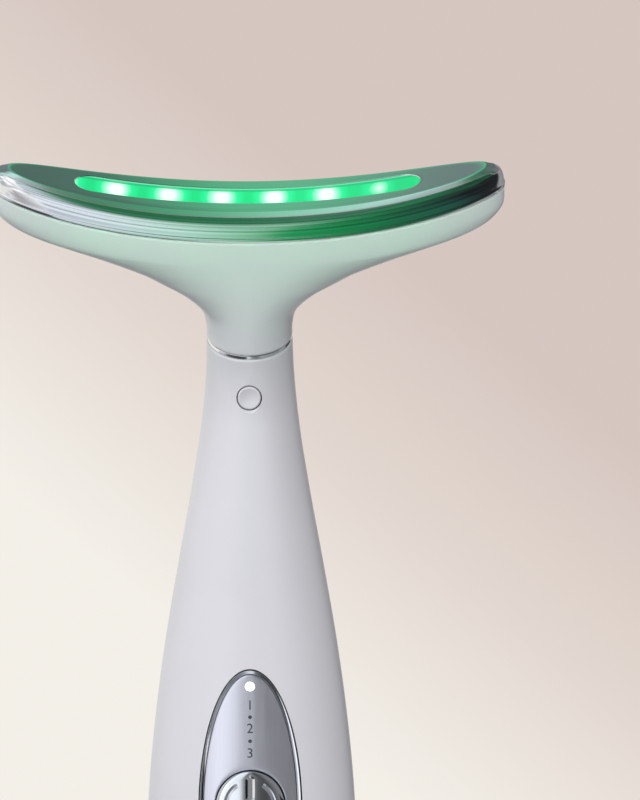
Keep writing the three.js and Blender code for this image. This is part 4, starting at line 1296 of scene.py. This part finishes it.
# The dark flag on the right, as [x, y] round the object, and its tones by Y
SIDE_FRONT = [(0.17, -0.36), (0.3, -0.33), (0.42, -0.2), (0.455, -0.1)]
SIDE_BACK = [(0.46, -0.02), (0.44, 0.14), (0.33, 0.3), (0.15, 0.4)]
SIDE_HEIGHTS = (0.001, 0.5)
SIDE_TONES = [
    (-0.08, 0.012, 0.013, 0.015), (-0.02, 0.05, 0.05, 0.055), (0.02, 0.22, 0.22, 0.23),
    (0.14, 0.31, 0.305, 0.31), (0.4, 0.27, 0.265, 0.27),
]
SIDE_GRAIN = 5
LOW_FLAG_HEIGHTS = (0.001, 0.155)
LOW_FLAG_SHARE = 0.96
LOW_TONES = [
    (0.28, 0.10, 0.10, 0.105), (0.31, 0.035, 0.035, 0.037), (0.4, 0.03, 0.03, 0.032),
]
EDGE_DARK, EDGE_LIGHT = (0.008, 0.008, 0.008), (0.012, 0.012, 0.012)


def standing_paths(outline, heights):
    return [[(x, y, z) for x, y in outline] for z in heights]


def side_card(name, outline, heights, tones):
    paths = standing_paths(outline, heights)
    lit_card(name, paths, lambda finish, x, y, z: finish.bands(y, tones), (SIDE_GRAIN,))


def build_side_flags():
    """Dark flags on the right, and a black one that keeps soft light off the right edges."""
    side_card("side_flag", SIDE_FRONT + SIDE_BACK, SIDE_HEIGHTS, SIDE_TONES)
    finish = Finish("edge_flag", (0.01, 0.01, 0.01), 0, 1)
    finish.shade({"Base Color": finish.tone(finish.noise(SIDE_GRAIN), EDGE_DARK, EDGE_LIGHT)})
    edge_flag = reflected_card("edge_flag", standing_paths(SIDE_BACK, SIDE_HEIGHTS), finish)
    edge_flag.visible_glossy = False
    edge_flag.visible_diffuse = True
    low = [(x * LOW_FLAG_SHARE, y * LOW_FLAG_SHARE) for x, y in SIDE_BACK[2:]]
    side_card("low_flag", low, LOW_FLAG_HEIGHTS, LOW_TONES)


ROOF_HEIGHT = 0.6
ROOF_ENDS = (-0.55, 0.55)
ROOF_REACH = (-0.19, 0.75)
# Colours by X of three strips: for the bevel's ends, for its middle, and behind for the face
ROOF_STRIPS = [
    [
        (-0.16, 0.35, 0.38, 0.42), (-0.072, 0.46, 0.51, 0.57), (-0.03, 0.36, 0.41, 0.44),
        (-0.005, 0.30, 0.38, 0.39), (0.004, 0.16, 0.24, 0.21), (0.014, 0.10, 0.21, 0.155),
        (0.03, 0.06, 0.18, 0.11),
    ],
    [
        (-0.06, 0.52, 0.80, 0.76), (-0.046, 0.50, 0.78, 0.70), (-0.038, 0.34, 0.73, 0.56),
        (-0.027, 0.30, 0.72, 0.50), (-0.010, 0.19, 0.58, 0.37), (0.007, 0.09, 0.42, 0.22),
        (0.018, 0.065, 0.36, 0.18), (0.026, 0.05, 0.25, 0.125), (0.06, 0.06, 0.13, 0.10),
    ],
    [
        (-0.052, 0.16, 0.21, 0.21), (-0.046, 0.16, 0.27, 0.215), (-0.040, 0.14, 0.38, 0.26),
        (-0.030, 0.12, 0.43, 0.25), (-0.022, 0.15, 0.52, 0.31), (-0.013, 0.11, 0.47, 0.26),
        (-0.006, 0.11, 0.47, 0.26), (0.0, 0.08, 0.36, 0.19), (0.010, 0.08, 0.27, 0.165),
        (0.015, 0.07, 0.20, 0.135), (0.021, 0.075, 0.145, 0.12), (0.3, 0.16, 0.17, 0.18),
    ],
]
ROOF_SPLITS = [(-0.150, -0.132), (-0.08, 0.02)]  # by Y, where one strip turns into the next


def roof_colors(finish, x, y, z):
    color = finish.bands(x, ROOF_STRIPS[0])
    for strip, split in zip(ROOF_STRIPS[1:], ROOF_SPLITS):
        color = finish.mixed(finish.mapped(y, 0, 1, split), color, finish.bands(x, strip))
    return color


def build_roof_card():
    lit_card("roof_card", level_paths(ROOF_ENDS, ROOF_REACH, ROOF_HEIGHT), roof_colors, (9,))


# Floor, backdrop, lamps and camera

FLOOR_RADIUS = 0.42
FLOOR_STEPS = 96
FLOOR_TONES = ((0.72, 0.695, 0.67), (0.76, 0.735, 0.71))


def build_floor():
    finish = Finish("pale_floor", (0.74, 0.715, 0.69), 0, 0.7)
    finish.shade({"Base Color": finish.tone(finish.noise(6), *FLOOR_TONES)})
    angles = around(FLOOR_STEPS)
    points = [(FLOOR_RADIUS * math.cos(a), FLOOR_RADIUS * math.sin(a), 0) for a in angles]
    mesh = new_mesh("floor", points, [tuple(range(FLOOR_STEPS))])
    mesh.materials.append(finish.material)
    floor = linked("floor", mesh)
    floor.visible_diffuse = False  # the world lights the object from below instead


# Colour stops of the backdrop and of the soft light, the place in them straight ahead, and
# how far they change across and upward
BACKDROP = [(0, 0.90, 0.87, 0.81), (0.5, 0.77, 0.69, 0.64), (1, 0.67, 0.565, 0.53)]
BACKDROP_WAY = (0.615, 5.4, 6.5)
AMBIENT = [(0, 0.25, 0.25, 0.255), (0.5, 0.59, 0.595, 0.605), (1, 0.84, 0.845, 0.87)]
AMBIENT_WAY = (0.5, -0.19, 0.5)


def sky(nodes, stops, start, across, up):
    """Background whose colour follows the direction."""
    x, _, z = nodes.place("Generated")
    value = nodes.calc("MULTIPLY_ADD", x, across, start)
    value = nodes.calc("MULTIPLY_ADD", z, up, value)
    return nodes.add("Background", {"Color": nodes.ramp(value, stops)}).outputs["Background"]


def build_world():
    """Soft light for the surfaces; the lens and reflections see the backdrop's own colour."""
    world = bpy.data.worlds.new("studio")
    bpy.context.scene.world = world
    world.use_nodes = True
    world.node_tree.nodes.clear()
    nodes = Nodes(world.node_tree)
    rays = nodes.add("LightPath").outputs
    seen = nodes.calc("MAXIMUM", rays["Is Camera Ray"], rays["Is Glossy Ray"])
    seen = nodes.calc("MAXIMUM", seen, rays["Is Transmission Ray"])
    backdrop = sky(nodes, BACKDROP, *BACKDROP_WAY)
    ambient = sky(nodes, AMBIENT, *AMBIENT_WAY)
    blend = nodes.add("MixShader", {0: seen, 1: ambient, 2: backdrop})
    nodes.add("OutputWorld", {"Surface": blend.outputs["Shader"]})


LIT_POINT = (0, HANDLE_Y, 0.09)
# Name, place, size and power of the soft boxes
SOFT_BOXES = [
    ("key", (-0.5, -0.6, 0.6), (0.8, 0.8), 3.9),
    ("fill", (0.32, -0.8, 0.30), (0.5, 0.4), 2.15),
    ("top", (0, 0.1, 0.75), (0.6, 0.4), 0.8),
]
# Soft spots that carry the lamps' green light onto the head
GLOW_PLACES = (-0.032, -0.016, 0, 0.016, 0.032)
GLOW_DISTANCE = 0.075
GLOW_HEIGHT = 0.1515
GLOW_LIGHT = {
    "energy": 0.0245,
    "color": (0, 1, 0.26),
    "spot_size": math.radians(39),
    "spot_blend": 1,
    "shadow_soft_size": 6 * MM,
}


def lamp(name, kind, place, target, settings):
    """A lamp that the reflections don't show."""
    light = bpy.data.lights.new(name, kind)
    for key, value in settings.items():
        setattr(light, key, value)
    obj = linked(name, light)
    obj.location = place
    direction = Vector(target) - Vector(place)
    obj.rotation_euler = direction.to_track_quat("-Z", "Y").to_euler()
    obj.visible_glossy = False


def build_lights():
    for name, place, (width, height), power in SOFT_BOXES:
        settings = {"shape": "RECTANGLE", "size": width, "size_y": height, "energy": power}
        lamp(name, "AREA", place, LIT_POINT, settings)
    for number, x in enumerate(GLOW_PLACES, 1):
        place = (x, -GLOW_DISTANCE, GLOW_HEIGHT)
        lamp(f"green_glow_{number}", "SPOT", place, (x, 0, GLOW_HEIGHT), GLOW_LIGHT)


IMAGE_WIDTH = 640
PIXELS_PER_METRE = 6000  # at the grip's middle plane
CAMERA_DISTANCE = 0.6
CAMERA_HEIGHT = 0.12464
CAMERA_CLIP = (0.01, 20)
OBJECT_COLUMN = 250.3  # of the image, where the grip's middle is seen
CAMERA_ROLL = math.radians(0.21)


def build_camera():
    lens = bpy.data.cameras.new("camera")
    lens.sensor_fit = "HORIZONTAL"
    lens.lens = lens.sensor_width * PIXELS_PER_METRE * CAMERA_DISTANCE / IMAGE_WIDTH
    lens.clip_start, lens.clip_end = CAMERA_CLIP
    camera = linked("camera", lens)
    x = (IMAGE_WIDTH / 2 - OBJECT_COLUMN) / PIXELS_PER_METRE
    place = Matrix.Translation((x, HANDLE_Y - CAMERA_DISTANCE, CAMERA_HEIGHT))
    turn = Matrix.Rotation(math.pi / 2, 4, "X") @ Matrix.Rotation(-CAMERA_ROLL, 4, "Z")
    camera.matrix_world = place @ turn
    bpy.context.scene.camera = camera


build_handle()
build_base_cap()
build_socket()
build_neck_ring()
build_housing()
build_plate()
build_window()
build_panel()
build_trim()
build_status_lens()
build_power_button()
build_neck_button()
build_prints()
finish_inner_nodes()
build_floor()
build_world()
build_lights()
build_key_card()
build_floor_flags()
build_glow_card()
build_panel_flag()
build_side_flags()
build_roof_card()
build_camera()
bpy.context.scene.view_settings.view_transform = "Standard"
